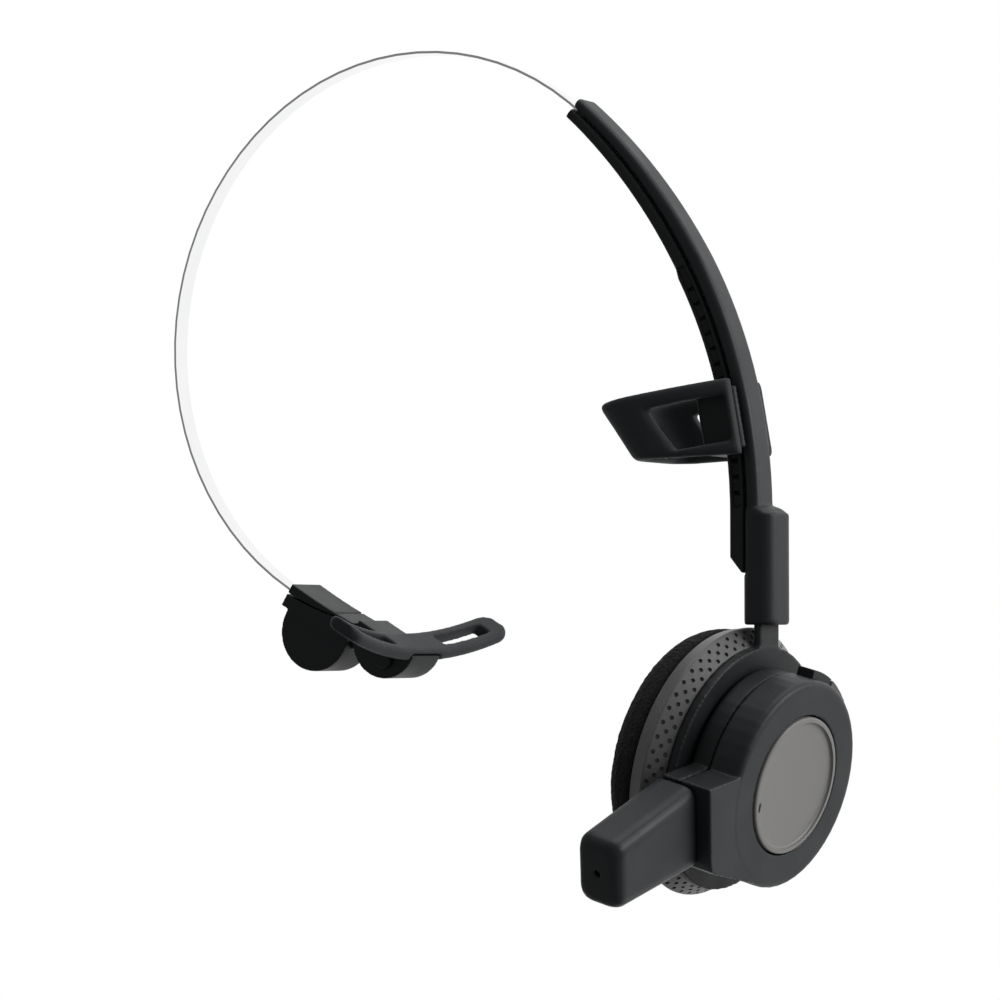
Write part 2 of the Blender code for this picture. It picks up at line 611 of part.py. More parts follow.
def carrier():
    half = CARRIER_WIDTH / 2
    beam = carrier_outline()
    body = solid("carrier_body", flat_y(beam, half), SIDE_PLASTIC)
    lug_place = Matrix.Translation(LUG_CENTRE) @ ALONG_Y
    combine(body, cutter("carrier_lug", disc(LUG_RADIUS, -half + 0.4 * MM, half - 0.4 * MM, lug_place)),
            operation="UNION")
    # The lug stays under the beam's inner face
    face = beam[:9]
    end_x = face[-1][0] + 2 * (face[-1][0] - face[-2][0])
    end_z = face[-1][1] + 2 * (face[-1][1] - face[-2][1])
    start_x = face[0][0] - 2 * (face[1][0] - face[0][0])
    start_z = face[0][1] - 2 * (face[1][1] - face[0][1])
    face = [(start_x, start_z)] + face + [(end_x, end_z)]
    over = [(x, z + SEAM) for x, z in face] + [(x, z + 15 * MM) for x, z in face[::-1]]
    combine(body, cutter("above_beam", flat_y(over, half + 5 * MM)))
    eye_place = Matrix.Translation(PIVOT) @ ALONG_Y
    sweep_room = HUB_RADIUS + HUB_RISE * sin(TBAR_SWING) + RUN
    hub_place = TBAR @ Matrix.Translation((HUB_SHIFT, 0, HUB_RISE)) @ ALONG_Y
    pad_reach = hypot(TBAR_MID_HALF - TBAR_OFFSET, TBAR_TOP) + RUN
    far = half + 5 * MM
    mouth = carrier_run(CAP_END_ANGLE)
    start = carrier_run(CARRIER_START_ANGLE - radians(6))
    cap_room = cutter("cap_clearance", swept(plain_section(-9 * MM, GAP / 2, 7 * MM), mouth - GAP, start))
    pocket = band_pocket("carrier_band_pocket",
            carrier_run(CARRIER_START_ANGLE) - BAND_IN_CARRIER - GAP, start)
    hole = screw_hole("carrier_hole", carrier_screw_place(), CARRIER_SCREW_LENGTH)
    combine(body, cutter("hub_swing", disc(sweep_room, -far, far, hub_place)),
            cutter("pad_swing", disc(pad_reach, -far, far, eye_place)))
    # Tongue from the beam to the eye on the pin
    reach = LUG_CENTRE - PIVOT
    along = reach.normalized()
    side = Vector((-along.z, 0, along.x)) * TONGUE_THICKNESS / 2
    end = reach.length - LUG_RADIUS + 3 * MM
    corners = [PIVOT + side, PIVOT + side + along * end, PIVOT - side + along * end, PIVOT - side]
    tongue = cutter("carrier_tongue", flat_y([(c.x, c.z) for c in corners], TONGUE_WIDTH / 2 - SEAM))
    eye = cutter("carrier_eye", disc(EYE_RADIUS, -TONGUE_WIDTH / 2, TONGUE_WIDTH / 2, eye_place, 32))
    combine(body, tongue, eye, operation="UNION")
    combine(body, cap_room, pocket, hole,
            cutter("eye_bore", disc(PIN_RADIUS + RUN, -far, far, eye_place, 32)))

    cap = solid("carrier_cap", flat_y(beam, half), SIDE_PLASTIC)
    kept = cutter("cap_share", swept(plain_section(-9 * MM, -GAP / 2, 7 * MM), mouth, start))
    combine(cap, kept, operation="INTERSECT")
    combine(cap, pocket, hole)
    screw("carrier_screw", carrier_screw_place(), CARRIER_SCREW_LENGTH)
    head = half + PIN_HEAD + GAP
    profile = [(0, head), (PIN_HEAD_RADIUS * 0.8, head), (PIN_HEAD_RADIUS, head - 0.5 * PIN_HEAD),
               (PIN_HEAD_RADIUS, half + GAP), (PIN_RADIUS, half + GAP),
               (PIN_RADIUS, -half - GAP), (PIN_HEAD_RADIUS, -half - GAP),
               (PIN_HEAD_RADIUS, -head + 0.5 * PIN_HEAD), (PIN_HEAD_RADIUS * 0.8, -head), (0, -head)]
    solid("tbar_pin", turned_solid(profile, eye_place, 24), SIDE_PLASTIC)


# T-bar ----------------------------------------------------------------------------------------

TBAR_RADIUS = (TBAR_HALF_LENGTH ** 2 + TBAR_SAG ** 2) / (2 * TBAR_SAG)


def tbar_outline(share, inset, thickness, corner):
    """Cross-section of the pad at a share of its half length, -1 to 1."""
    half = TBAR_MID_HALF + (TBAR_TIP_HALF - TBAR_MID_HALF) * abs(share) - inset
    if abs(share) > 0.93:
        half *= 1 - 0.35 * ((abs(share) - 0.93) / 0.07) ** 2
    y = share * TBAR_HALF_LENGTH
    rise = TBAR_RADIUS - sqrt(TBAR_RADIUS ** 2 - y ** 2)
    top = TBAR_TOP + rise + (thickness - TBAR_THICKNESS) / 2
    section = rounded_rect((TBAR_OFFSET - half, top - thickness), (TBAR_OFFSET + half, top), corner)
    return [TBAR @ Vector((x, y, z)) for x, z in section]


def hub_block(radius, half, top):
    """The hub's round outline, cut level below the pad."""
    dip = asin((top - HUB_RISE) / radius)
    angles = [pi - dip + (pi + 2 * dip) * k / 30 for k in range(31)]
    outline = [(HUB_SHIFT + radius * cos(a), -HUB_RISE - radius * sin(a)) for a in angles]
    return extrude(outline, -half, half, TBAR @ ALONG_Y)


def tbar(joint):
    shares = sorted([k / 12 for k in range(-11, 12)] + [0.96, 0.985, 1.0, -0.96, -0.985, -1.0])
    pad = solid("tbar_pad", loft([tbar_outline(s, 0, TBAR_THICKNESS, 1.2 * MM) for s in shares]),
            SOFT_RUBBER, joint)
    for side in (-1, 1):
        ends = [side * (TBAR_WINDOW[0] + (TBAR_WINDOW[1] - TBAR_WINDOW[0]) * k / 4) / TBAR_HALF_LENGTH
                for k in range(5)]
        rings = [tbar_outline(s, TBAR_FRAME, 4 * TBAR_THICKNESS, 0.8 * MM) for s in sorted(ends)]
        combine(pad, cutter("tbar_window_%d" % side, loft(rings)))
    half = CARRIER_WIDTH / 2
    hub_top = TBAR_TOP - TBAR_SKIN - GAP
    combine(pad, cutter("pad_hub_room", hub_block(HUB_RADIUS + GAP, half + GAP, hub_top + GAP)))

    turn = TBAR @ ALONG_Y
    head_room = half + PIN_HEAD + 3 * GAP
    combine(pad, cutter("pin_head_room", disc(PIN_HEAD_RADIUS + RUN, -head_room, head_room, turn, 24)))

    hub = solid("tbar_hub", hub_block(HUB_RADIUS, half, hub_top), SIDE_PLASTIC, joint)
    room = TONGUE_WIDTH / 2 + RUN
    slot = disc(EYE_RADIUS + RUN, -room, room, turn, 32)
    # The tongue's way out of the fork over the whole swing
    spread = 3 * HUB_RADIUS * sin(TBAR_SWING) + TONGUE_THICKNESS
    way = ((0, -spread / 3), (-3 * HUB_RADIUS, -spread * 1.6), (-3 * HUB_RADIUS, spread * 1.6), (0,
            spread / 3))
    reach = TBAR.inverted() @ LUG_CENTRE
    lean = atan2(reach.z, reach.x) - pi
    fork = TBAR @ Matrix.Rotation(-lean, 4, "Y") @ ALONG_Y
    combine(hub, cutter("fork_slot", slot), cutter("fork_way", extrude(way, -room - SEAM, room + SEAM,
            fork)),
            cutter("fork_bore", disc(PIN_RADIUS + RUN, -2 * half, 2 * half, turn, 32)))


# Head support ---------------------------------------------------------------------------------

def loop_walls():
    """Outer and inner (x, y) of the soft loop's wall, point by point from a root to the nose's middle."""
    rise, fall = tan(LOOP_ROOT_TURN), tan(LOOP_NOSE_TURN)
    straight = LOOP_DEPTH - LOOP_CORNER
    outer, inner = [], []
    for k in range(8):
        deep = straight * k / 7
        y = LOOP_ROOT_Y + deep * rise - deep ** 2 * (rise - fall) / (2 * LOOP_DEPTH)
        outer.append((SADDLE_BACK - deep, y + LOOP_WALL / 2))
        inner.append((SADDLE_BACK - deep, y - LOOP_WALL / 2))
    x, y = outer[-1]
    small = LOOP_CORNER - LOOP_WALL
    for k in range(1, 7):
        angle = pi / 2 * (1 + k / 6)
        outer.append((x + LOOP_CORNER * cos(angle), y - LOOP_CORNER + LOOP_CORNER * sin(angle)))
        inner.append((x + small * cos(angle), y - LOOP_CORNER + small * sin(angle)))
    outer.append((outer[-1][0], 0.0))
    inner.append((inner[-1][0], 0.0))
    return outer, inner


def loop_ring(outer, inner, side):
    """Cross-section of the loop's wall between an outer and an inner point, leaning with the nose."""
    share = (SADDLE_BACK - (outer[0] + inner[0]) / 2) / LOOP_DEPTH
    high = LOOP_ROOT_HIGH + (LOOP_NOSE_HIGH - LOOP_ROOT_HIGH) * share
    low = LOOP_ROOT_LOW + (LOOP_NOSE_LOW - LOOP_ROOT_LOW) * share
    points = []
    for across, z in rounded_rect((0, low), (LOOP_WALL, high), 1.1 * MM):
        part = across / LOOP_WALL
        x = inner[0] + (outer[0] - inner[0]) * part - LOOP_SLANT * share ** 2 * z
        y = inner[1] + (outer[1] - inner[1]) * part
        points.append(SUPPORT @ Vector((x, side * y, z)))
    return points


def support(joint):
    channel = ARM_WIDTH / 2 + RUN
    outer = channel + SADDLE_WALL
    rail_face = RAIL_AT_RACK + RAIL_STEP
    sagitta = SADDLE_HALF_HEIGHT ** 2 / (2 * RACK_ARC_RADIUS)
    web_face = -(rail_face + RUN + sagitta)
    saddle_line = rounded_rect((web_face - SADDLE_WEB, -outer), (SADDLE_BACK, outer), 1.0 * MM, 3)
    saddle = solid("support_saddle", extrude(saddle_line, -SADDLE_HALF_HEIGHT, SADDLE_HALF_HEIGHT, SUPPORT),
                   SIDE_PLASTIC, joint)
    combine(saddle, cutter("saddle_channel", box((web_face, -channel, -20 * MM), (10 * MM, channel,
            20 * MM), SUPPORT)))
    slot_middle = SLOT_INNER + SLOT_WIDTH / 2
    for side in (-1, 1):
        low, high = sorted((side * (ARM_WIDTH / 2 - SLOT_DEPTH + 0.25 * MM), side * (channel + 0.5 * MM)))
        tab = box((slot_middle - SLOT_WIDTH / 2 + RUN, low, -TAB_LENGTH / 2),
                  (slot_middle + SLOT_WIDTH / 2 - RUN, high, TAB_LENGTH / 2), SUPPORT)
        combine(saddle, cutter("saddle_tab_%d" % side, tab), operation="UNION")

    outer_wall, inner_wall = loop_walls()
    pairs = list(zip(outer_wall, inner_wall))
    rings = [loop_ring(*pair, 1) for pair in pairs] + [loop_ring(*pair, -1) for pair in pairs[-2::-1]]
    pad = solid("support_pad", loft(rings), SOFT_RUBBER, joint)
    web_back = web_face - SADDLE_WEB - GAP
    room = box((web_back, -outer - GAP, -20 * MM), (10 * MM, outer + GAP, 20 * MM), SUPPORT)
    high, low = WINDOW_HALF_HEIGHT, -WINDOW_HALF_HEIGHT
    leg_line = [(WINDOW_ROOT, low), (WINDOW_ROOT, high),
                (WINDOW_NOSE - WINDOW_SLANT, high), (WINDOW_NOSE + WINDOW_SLANT, low)]
    leg_window = extrude([(x, -z) for x, z in leg_line], -40 * MM, 40 * MM, SUPPORT @ ALONG_Y)
    nose_window = box((-60 * MM, -NOSE_WINDOW, low + 0.8 * MM), (WINDOW_NOSE - 6 * MM, NOSE_WINDOW,
            high - 1.2 * MM), SUPPORT)
    combine(pad, cutter("pad_room", room), cutter("leg_windows", leg_window), cutter("nose_window",
            nose_window))


# Neck and speaker side ------------------------------------------------------------------------

NECK_FRONT = -NECK_PLATE_DEPTH + STEM_THICKNESS / 2
NECK_REAR = -NECK_PLATE_DEPTH - STEM_THICKNESS / 2
RING_BACK = NECK_REAR - GAP
RING_FRONT = RING_BACK - RING_DEPTH


NECK_FLARE = (1.0, 0.8, 0.6, 0.4, 0.25, 0.1, 0.0)
NECK_SPREAD = 16.0 * MM


def neck(joint):
    plate = solid("neck_yoke", disc(NECK_PLATE_RADIUS, NECK_REAR, NECK_FRONT, CUP), BLACK_PLASTIC, joint)
    rings = []
    for share in NECK_FLARE:
        half = STEM_WIDTH / 2 + NECK_SPREAD * share ** 2.2
        outline = rounded_rect((-half, NECK_REAR + SEAM), (half, NECK_FRONT - SEAM), 0.5 * MM, 1)
        rings.append([CUP @ Vector((x, NECK_DROP * (1 - 0.5 * share) - 0.4 * MM, z)) for x, z in outline])
    for height in (-0.6 * BEND_DROP, STEM_IN_SLEEVE):
        outline = rounded_rect((-STEM_WIDTH / 2, -STEM_THICKNESS / 2), (STEM_WIDTH / 2,
                STEM_THICKNESS / 2), 0.5 * MM, 1)
        points = [SLEEVE_PLACE @ Vector((z, x, height)) for x, z in outline]
        rings.append(points)
    combine(plate, cutter("neck_stem", loft(rings)), operation="UNION")
    combine(plate, cutter("neck_bore", disc(PIVOT_RADIUS + RUN, -30 * MM, 0, CUP, 32)))

    back, front = RING_BACK, RING_FRONT
    profile = [(RING_HOLE, back), (RING_BACK_RADIUS, back), (RING_RADIUS, back - RING_WIDEST),
               (RING_FRONT_RADIUS, front), (RING_FRONT_RADIUS - RING_WALL, front),
               (RING_RADIUS - RING_WALL, back - RING_WIDEST), (RING_BACK_RADIUS - RING_WALL,
                       back - RING_WALL),
               (RING_HOLE, back - RING_WALL)]
    solid("vent_ring", turned(profile, CUP, 64), RING_PLASTIC, joint)
    baffle_front = front + 0.2 * MM
    baffle_back = baffle_front + 1.5 * MM
    baffle_radius = RING_FRONT_RADIUS - RING_WALL - GAP
    profile = [(CUSHION_HOLE, baffle_front), (baffle_radius, baffle_front), (baffle_radius, baffle_back),
               (CUSHION_HOLE, baffle_back)]
    solid("baffle", turned(profile[::-1], CUP), BLACK_PLASTIC, joint)
    driver_back = RING_BACK - RING_WALL - GAP - 1.6 * MM
    profile = [(0, baffle_back + GAP), (DRIVER_RADIUS, baffle_back + GAP), (DRIVER_RADIUS,
            baffle_back + GAP + 0.9 * MM),
               (MAGNET_RADIUS + 1.5 * MM, driver_back - GAP), (0, driver_back - GAP)]
    solid("speaker_driver", turned_solid(profile, CUP, 40), DARK_STEEL, joint)
    magnet = disc(MAGNET_RADIUS, driver_back, RING_BACK - RING_WALL - GAP, CUP, 40)
    solid("speaker_magnet", magnet, DARK_STEEL, joint)
    solid("acoustic_cloth", disc(CUSHION_HOLE + 3 * MM, front - GAP - 0.5 * MM, front - 0.1 * MM, CUP,
            40), CLOTH, joint)
    top = front - GAP
    deep = front - CUSHION_DEPTH
    step = CUSHION_HOLE + 3.3 * MM
    profile = [(0, top - 1.1 * MM), (step, top - 1.1 * MM), (step, top), (RING_FRONT_RADIUS - 0.6 * MM,
            top),
               (RING_FRONT_RADIUS - 0.3 * MM, top - 1.2 * MM), (CUSHION_RADIUS, top - 0.5 * CUSHION_DEPTH),
               (CUSHION_RADIUS - 1.8 * MM, top - 0.8 * CUSHION_DEPTH), (CUSHION_RADIUS - 5.5 * MM, deep),
               (step + 3.0 * MM, deep), (step - 3.0 * MM, deep + CUSHION_DISH), (0, deep + CUSHION_DISH)]
    solid("ear_cushion", turned_solid(profile, CUP, 40), FOAM, joint)


# Drum and boom --------------------------------------------------------------------------------

REAR_FRONT = -FRONT_DEPTH - GAP
REAR_BACK = NECK_FRONT + GAP
BOOM_BACK = -BOOM_FRONT - BOOM_THICKNESS


def boom_outline(share, inset=0.0, corner=BOOM_CORNER):
    """Boom's (y, z) outline in its own frame, where y runs down."""
    top = BOOM_ROOT_TOP + (BOOM_TIP_TOP - BOOM_ROOT_TOP) * share - inset
    bottom = BOOM_ROOT_BOTTOM + (BOOM_TIP_BOTTOM - BOOM_ROOT_BOTTOM) * share + inset
    return rounded_rect((-top, BOOM_BACK + inset), (-bottom, -BOOM_FRONT - inset), corner)


def boom_bar(start, end, inset=0.0, round_tip=False):
    runs = [(start, inset), (end, inset)]
    if round_tip:
        runs = [(start, inset)] + [
            (end - BOOM_CORNER * (1 - sin(k * pi / 8)), inset + BOOM_CORNER * (1 - cos(k * pi / 8)) * 0.8)
            for k in range(5)]
    rings = []
    for run, shrink in runs:
        outline = boom_outline((run - BOOM_START) / BOOM_LENGTH, shrink, BOOM_CORNER - 0.3 * inset)
        rings.append([BOOM @ Vector((run, y, z)) for y, z in outline])
    return loft(rings)


def key_wedge(first, last, radius_in, radius_out, low, high, steps=6):
    """A block on the drum's rim between two angles back from the top."""
    outline = []
    angles = [pi / 2 - radians(first + (last - first) * k / steps) for k in range(steps + 1)]
    outline += [(radius_out * cos(a), radius_out * sin(a)) for a in angles]
    outline += [(radius_in * cos(a), radius_in * sin(a)) for a in angles[::-1]]
    return extrude(outline, low, high, CUP)


# The boom block on the drum, along the boom and above its axis, in mm
TAB_LINE = ((17.0, 9.3), (21.2, 10.0), (28.1, 11.2), (28.1, -5.3), (27.6, -6.9), (26.3, -8.0),
            (10.5, -17.5), (9.8, -15.5), (16.8, -1.0))


def drum(joint):
    wall = DRUM_WALL
    inner = DRUM_RADIUS - wall
    face = [(BUTTON_RADIUS + RUN, 0.0)]
    face += [(DRUM_RADIUS - DRUM_EDGE * (1 - sin(k * pi / 8)),
            -DRUM_EDGE * (1 - cos(k * pi / 8))) for k in range(5)]
    profile = face + [(DRUM_RADIUS, -FRONT_DEPTH), (inner, -FRONT_DEPTH), (inner, -wall - 0.4 * MM),
                      (BUTTON_RADIUS + RUN, -wall - 0.4 * MM)]
    front = solid("front_housing", turned(profile, CUP), SIDE_PLASTIC, joint)
    # Block that carries the boom: its outer face is level with the drum's
    tab_end = BOOM_START - GAP
    tab_line = [(b * MM, -c * MM) for b, c in TAB_LINE]
    tab = cutter("boom_tab", extrude(tab_line, -FRONT_DEPTH + SEAM, -2 * SEAM, BOOM))
    inside = cutter("drum_inside", disc(inner - SEAM, -30 * MM, -wall - 0.4 * MM - SEAM, CUP))
    combine(front, tab, operation="UNION")
    spigot_room = cutter("front_spigot_room", boom_bar(inner - 3 * MM, BOOM_START + MM,
            BOOM_WALL + 1.2 * MM))
    keys = [cutter(name + "_room", key_wedge(a - 0.8, b + 0.8, DRUM_RADIUS - 4 * MM, DRUM_RADIUS + 3 * MM,
                                             -KEY_CENTRE_DEPTH - KEY_WIDTH / 2 - RUN,
                                             -KEY_CENTRE_DEPTH + KEY_WIDTH / 2 + RUN))
            for name, (a, b) in KEY_ANGLES.items()]
    combine(front, inside, spigot_room, *keys)

    profile = [(DRUM_RADIUS - 0.3 * MM, REAR_FRONT), (DRUM_RADIUS - 0.3 * MM, REAR_FRONT - 0.6 * MM),
               (REAR_RADIUS + 0.8 * MM, REAR_BACK + 0.6 * MM), (REAR_RADIUS, REAR_BACK),
               (PIVOT_RADIUS + GAP, REAR_BACK), (PIVOT_RADIUS + GAP, REAR_BACK + 1.1 * MM),
               (REAR_RADIUS - 1.0 * MM, REAR_BACK + 1.1 * MM), (inner - 0.3 * MM, REAR_FRONT)]
    rear = solid("rear_shell", turned(profile[::-1], CUP), BLACK_PLASTIC, joint)
    combine(rear, cutter("rear_tab", extrude(tab_line, REAR_BACK + 0.4 * MM, REAR_FRONT, BOOM)),
            operation="UNION")
    rear_inside = [(0.01 * MM, REAR_BACK + 1.1 * MM), (REAR_RADIUS - 1.0 * MM, REAR_BACK + 1.1 * MM),
                   (inner - 0.3 * MM, REAR_FRONT + 0.5 * MM), (0.01 * MM, REAR_FRONT + 0.5 * MM)]
    combine(rear, cutter("rear_inside", turned(rear_inside[::-1], CUP)),
            cutter("rear_spigot_room", boom_bar(inner - 3 * MM, BOOM_START + MM, BOOM_WALL + 1.2 * MM)))

    boom = solid("boom_housing", boom_bar(BOOM_START, BOOM_START + BOOM_LENGTH, 0, True), SIDE_PLASTIC,
            joint)
    spigot = boom_bar(tab_end - 4 * MM, BOOM_START + 2 * MM, BOOM_WALL + 1.2 * MM + GAP)
    hollow = boom_bar(BOOM_START + 2.5 * MM, BOOM_START + BOOM_LENGTH - 2.2 * MM, BOOM_WALL)
    duct = boom_bar(tab_end - 6 * MM, BOOM_START + 4 * MM, BOOM_WALL + 2.6 * MM)
    mic_place = BOOM @ Matrix.Rotation(pi / 2, 4, "Y")
    mic_centre = BOOM @ Vector((BOOM_START + BOOM_LENGTH, MIC_DOWN, BOOM_BACK + BOOM_THICKNESS / 2 + MIC_OUT))
    mic_place = Matrix.Translation(mic_centre) @ mic_place.to_3x3().to_4x4()
    combine(boom, cutter("boom_spigot", spigot), operation="UNION")
    combine(boom, cutter("boom_hollow", hollow), cutter("boom_duct", duct))
    combine(boom, cutter("mic_hole", disc(MIC_HOLE_RADIUS, -4 * MM, 2 * MM, mic_place, SMALL)))
    solid("mic_capsule", disc(1.9 * MM, -4.6 * MM, -2.2 * MM - GAP, mic_place, 20), DARK_STEEL, joint)

    solid("main_board", disc(inner - 1.3 * MM, -5.9 * MM, -4.9 * MM, CUP), BOARD, joint)
    solid("button_switch", disc(2.6 * MM, -4.9 * MM + GAP,
            BUTTON_PROUD - BUTTON_DISH - BUTTON_THICKNESS - BUTTON_TRAVEL - GAP,
                                CUP, 24), DARK_STEEL, joint)
    solid("battery", disc(12.5 * MM, REAR_BACK + 2.6 * MM, -5.9 * MM - GAP, CUP, 40), FOIL, joint)
    floor = REAR_BACK + 1.1 * MM
    stud = [(0, floor + GAP + 0.6 * MM), (PIVOT_RADIUS + 1.6 * MM, floor + GAP + 0.6 * MM),
            (PIVOT_RADIUS + 1.6 * MM, floor + GAP), (PIVOT_RADIUS, floor + GAP),
            (PIVOT_RADIUS, RING_BACK - RING_WALL + 0.3 * MM), (0, RING_BACK - RING_WALL + 0.3 * MM)]
    clip = [(PIVOT_RADIUS + 0.05 * MM, NECK_REAR - GAP), (RING_HOLE - RUN, NECK_REAR - GAP),
            (RING_HOLE - RUN, NECK_REAR - GAP - 0.8 * MM), (PIVOT_RADIUS + 0.05 * MM,
                    NECK_REAR - GAP - 0.8 * MM)]
    solid("pivot_clip", turned(clip[::-1], CUP, 32), STEEL, joint)
    solid("pivot_stud", turned_solid(stud, CUP, 32), DARK_STEEL, joint)


def talk_button(joint):
    top = BUTTON_PROUD
    floor = top - BUTTON_DISH
    low = floor - BUTTON_THICKNESS + 0.6 * MM
    profile = [(0, floor - 0.25 * MM), (BUTTON_RADIUS * 0.5, floor - 0.2 * MM),
            (BUTTON_RADIUS - 2.4 * MM, floor),
               (BUTTON_RADIUS - 1.5 * MM, top), (BUTTON_RADIUS - 0.5 * MM, top), (BUTTON_RADIUS,
                       top - 0.5 * MM),
               (BUTTON_RADIUS, low), (0, low)]
    button = solid("talk_button", turned_solid(profile, CUP), GREY_PLASTIC, joint)
    window = box((-11.0 * MM, -5.2 * MM, -10 * MM), (-10.4 * MM, -3.2 * MM, 10 * MM), CUP)
    return combine(button, cutter("light_window", window))


def rim_key(name, joint):
    first, last = KEY_ANGLES[name]
    outer = DRUM_RADIUS + KEY_PROUD[name]
    wedge = key_wedge(first, last, DRUM_RADIUS - KEY_DEPTH, outer,
                      -KEY_CENTRE_DEPTH - KEY_WIDTH / 2, -KEY_CENTRE_DEPTH + KEY_WIDTH / 2)
    finish = GREY_PLASTIC if name == "power_key" else BLACK_PLASTIC
    return solid(name, wedge, finish, joint)


def weld_pieces():
    """Joins the points that a Boolean leaves within a few microns of each other."""
    for obj in bpy.data.objects:
        if obj.type == "MESH" and not obj.hide_render and obj.modifiers:
            obj.modifiers.new("weld", "WELD").merge_threshold = 0.004 * MM


def main():
    clear_scene()
    support_joint = empty("support_axis", Matrix.Translation(RACK_CENTRE))
    tbar_joint = empty("tbar_axis", Matrix.Translation(PIVOT))
    neck_joint = empty("neck_axis", Matrix.Translation((SLEEVE_X, 0, SLEEVE_BOTTOM)))
    drum_joint = empty("drum_axis", CUP, neck_joint)
    button_joint = empty("talk_button_axis", CUP, drum_joint)
    band()
    arm()
    carrier()
    tbar(tbar_joint)
    support(support_joint)
    neck(neck_joint)
    drum(drum_joint)
    talk_button(button_joint)
    for name, (first, last) in KEY_ANGLES.items():
        angle = radians((first + last) / 2)
        place = CUP @ Matrix.Translation((DRUM_RADIUS * sin(angle), DRUM_RADIUS * cos(angle),
                -KEY_CENTRE_DEPTH))
        rim_key(name, empty(name + "_axis", place, drum_joint))
    weld_pieces()


main()
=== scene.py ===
"""Looks of a wireless single-ear office headset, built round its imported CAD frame.

The frame's origin is the centre of the sprung hoop, +X towards the ear cup, -Y forwards, +Z up.
"""

import json
import logging
from dataclasses import dataclass
from enum import Enum
from math import cos, pi, radians, sin

import bmesh
import bpy
from mathutils import Matrix, Vector, noise

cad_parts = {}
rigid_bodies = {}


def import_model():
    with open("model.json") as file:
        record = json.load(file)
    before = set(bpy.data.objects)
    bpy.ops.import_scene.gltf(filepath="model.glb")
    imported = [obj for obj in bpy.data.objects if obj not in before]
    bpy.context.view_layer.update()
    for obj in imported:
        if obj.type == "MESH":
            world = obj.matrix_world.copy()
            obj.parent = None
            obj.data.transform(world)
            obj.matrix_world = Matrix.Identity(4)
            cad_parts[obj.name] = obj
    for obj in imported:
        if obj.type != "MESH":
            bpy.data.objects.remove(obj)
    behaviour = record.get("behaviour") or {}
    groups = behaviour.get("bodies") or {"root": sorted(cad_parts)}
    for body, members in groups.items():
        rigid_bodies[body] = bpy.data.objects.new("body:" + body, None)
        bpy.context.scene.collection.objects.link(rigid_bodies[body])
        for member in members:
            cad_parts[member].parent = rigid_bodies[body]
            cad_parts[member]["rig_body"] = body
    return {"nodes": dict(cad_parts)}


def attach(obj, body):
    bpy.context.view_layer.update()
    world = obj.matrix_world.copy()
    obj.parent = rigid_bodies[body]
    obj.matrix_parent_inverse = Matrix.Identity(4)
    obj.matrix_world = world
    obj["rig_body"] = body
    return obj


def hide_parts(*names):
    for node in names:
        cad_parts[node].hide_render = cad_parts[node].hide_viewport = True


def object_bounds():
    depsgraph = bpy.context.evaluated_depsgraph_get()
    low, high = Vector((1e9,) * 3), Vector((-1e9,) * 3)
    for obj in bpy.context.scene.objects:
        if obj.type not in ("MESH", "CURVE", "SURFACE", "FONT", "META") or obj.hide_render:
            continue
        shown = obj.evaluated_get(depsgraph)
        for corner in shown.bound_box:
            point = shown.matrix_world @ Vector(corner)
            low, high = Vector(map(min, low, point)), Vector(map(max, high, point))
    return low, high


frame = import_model()
CAD_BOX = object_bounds()

LOG = logging.getLogger("office_headset")
MM = 0.001

# The cup's own frame: x backwards, y up, z out of the outer face
CUP_TOE = radians(-6.5)
CUP_TILT = radians(14.36)
CUP_ORIGIN = Vector((86.773, -0.738, -90.551)) * MM
CUP = (
    Matrix.Translation(CUP_ORIGIN)
    @ Matrix.Rotation(CUP_TOE, 4, "Z")
    @ Matrix.Rotation(CUP_TILT, 4, "Y")
    @ Matrix(((0, 0, 1), (1, 0, 0), (0, 1, 0))).to_4x4()
)


class Pattern(Enum):
    """How a surface was made, which sets the nodes of its material."""

    MOULDED = "spark-eroded mould texture"
    RUBBER = "matte overmoulded elastomer"
    FOAM = "open-cell foam"
    POLISHED = "rolled and polished strip"
    WOVEN = "plain-weave acoustic cloth"
    FLAT = "coated board or foil"


def linear(code: str) -> tuple[float, float, float, float]:
    """Turns an sRGB hex colour to linear.

    Args:
        code: six hex digits.

    Returns:
        Red, green, blue and alpha, linear.
    """
    parts = [int(code[i:i + 2], 16) / 255 for i in (0, 2, 4)]
    light = [c / 12.92 if c <= 0.04045 else ((c + 0.055) / 1.055) ** 2.4 for c in parts]
    return (*light, 1.0)


def add_node(tree: bpy.types.NodeTree, kind: str, values: dict | None = None,
             links: dict | None = None, **settings: object) -> bpy.types.Node:
    """Adds a node with its settings, values and incoming links.

    Args:
        tree: node tree that takes it.
        kind: Blender's name of the node type.
        values: constants by input name or number.
        links: output sockets by input name or number.
        **settings: the node's own attributes.

    Returns:
        The new node.
    """
    node = tree.nodes.new(kind)
    for name, value in settings.items():
        setattr(node, name, value)
    for key, value in (values or {}).items():
        node.inputs[key].default_value = value
    for key, socket in (links or {}).items():
        tree.links.new(socket, node.inputs[key])
    return node


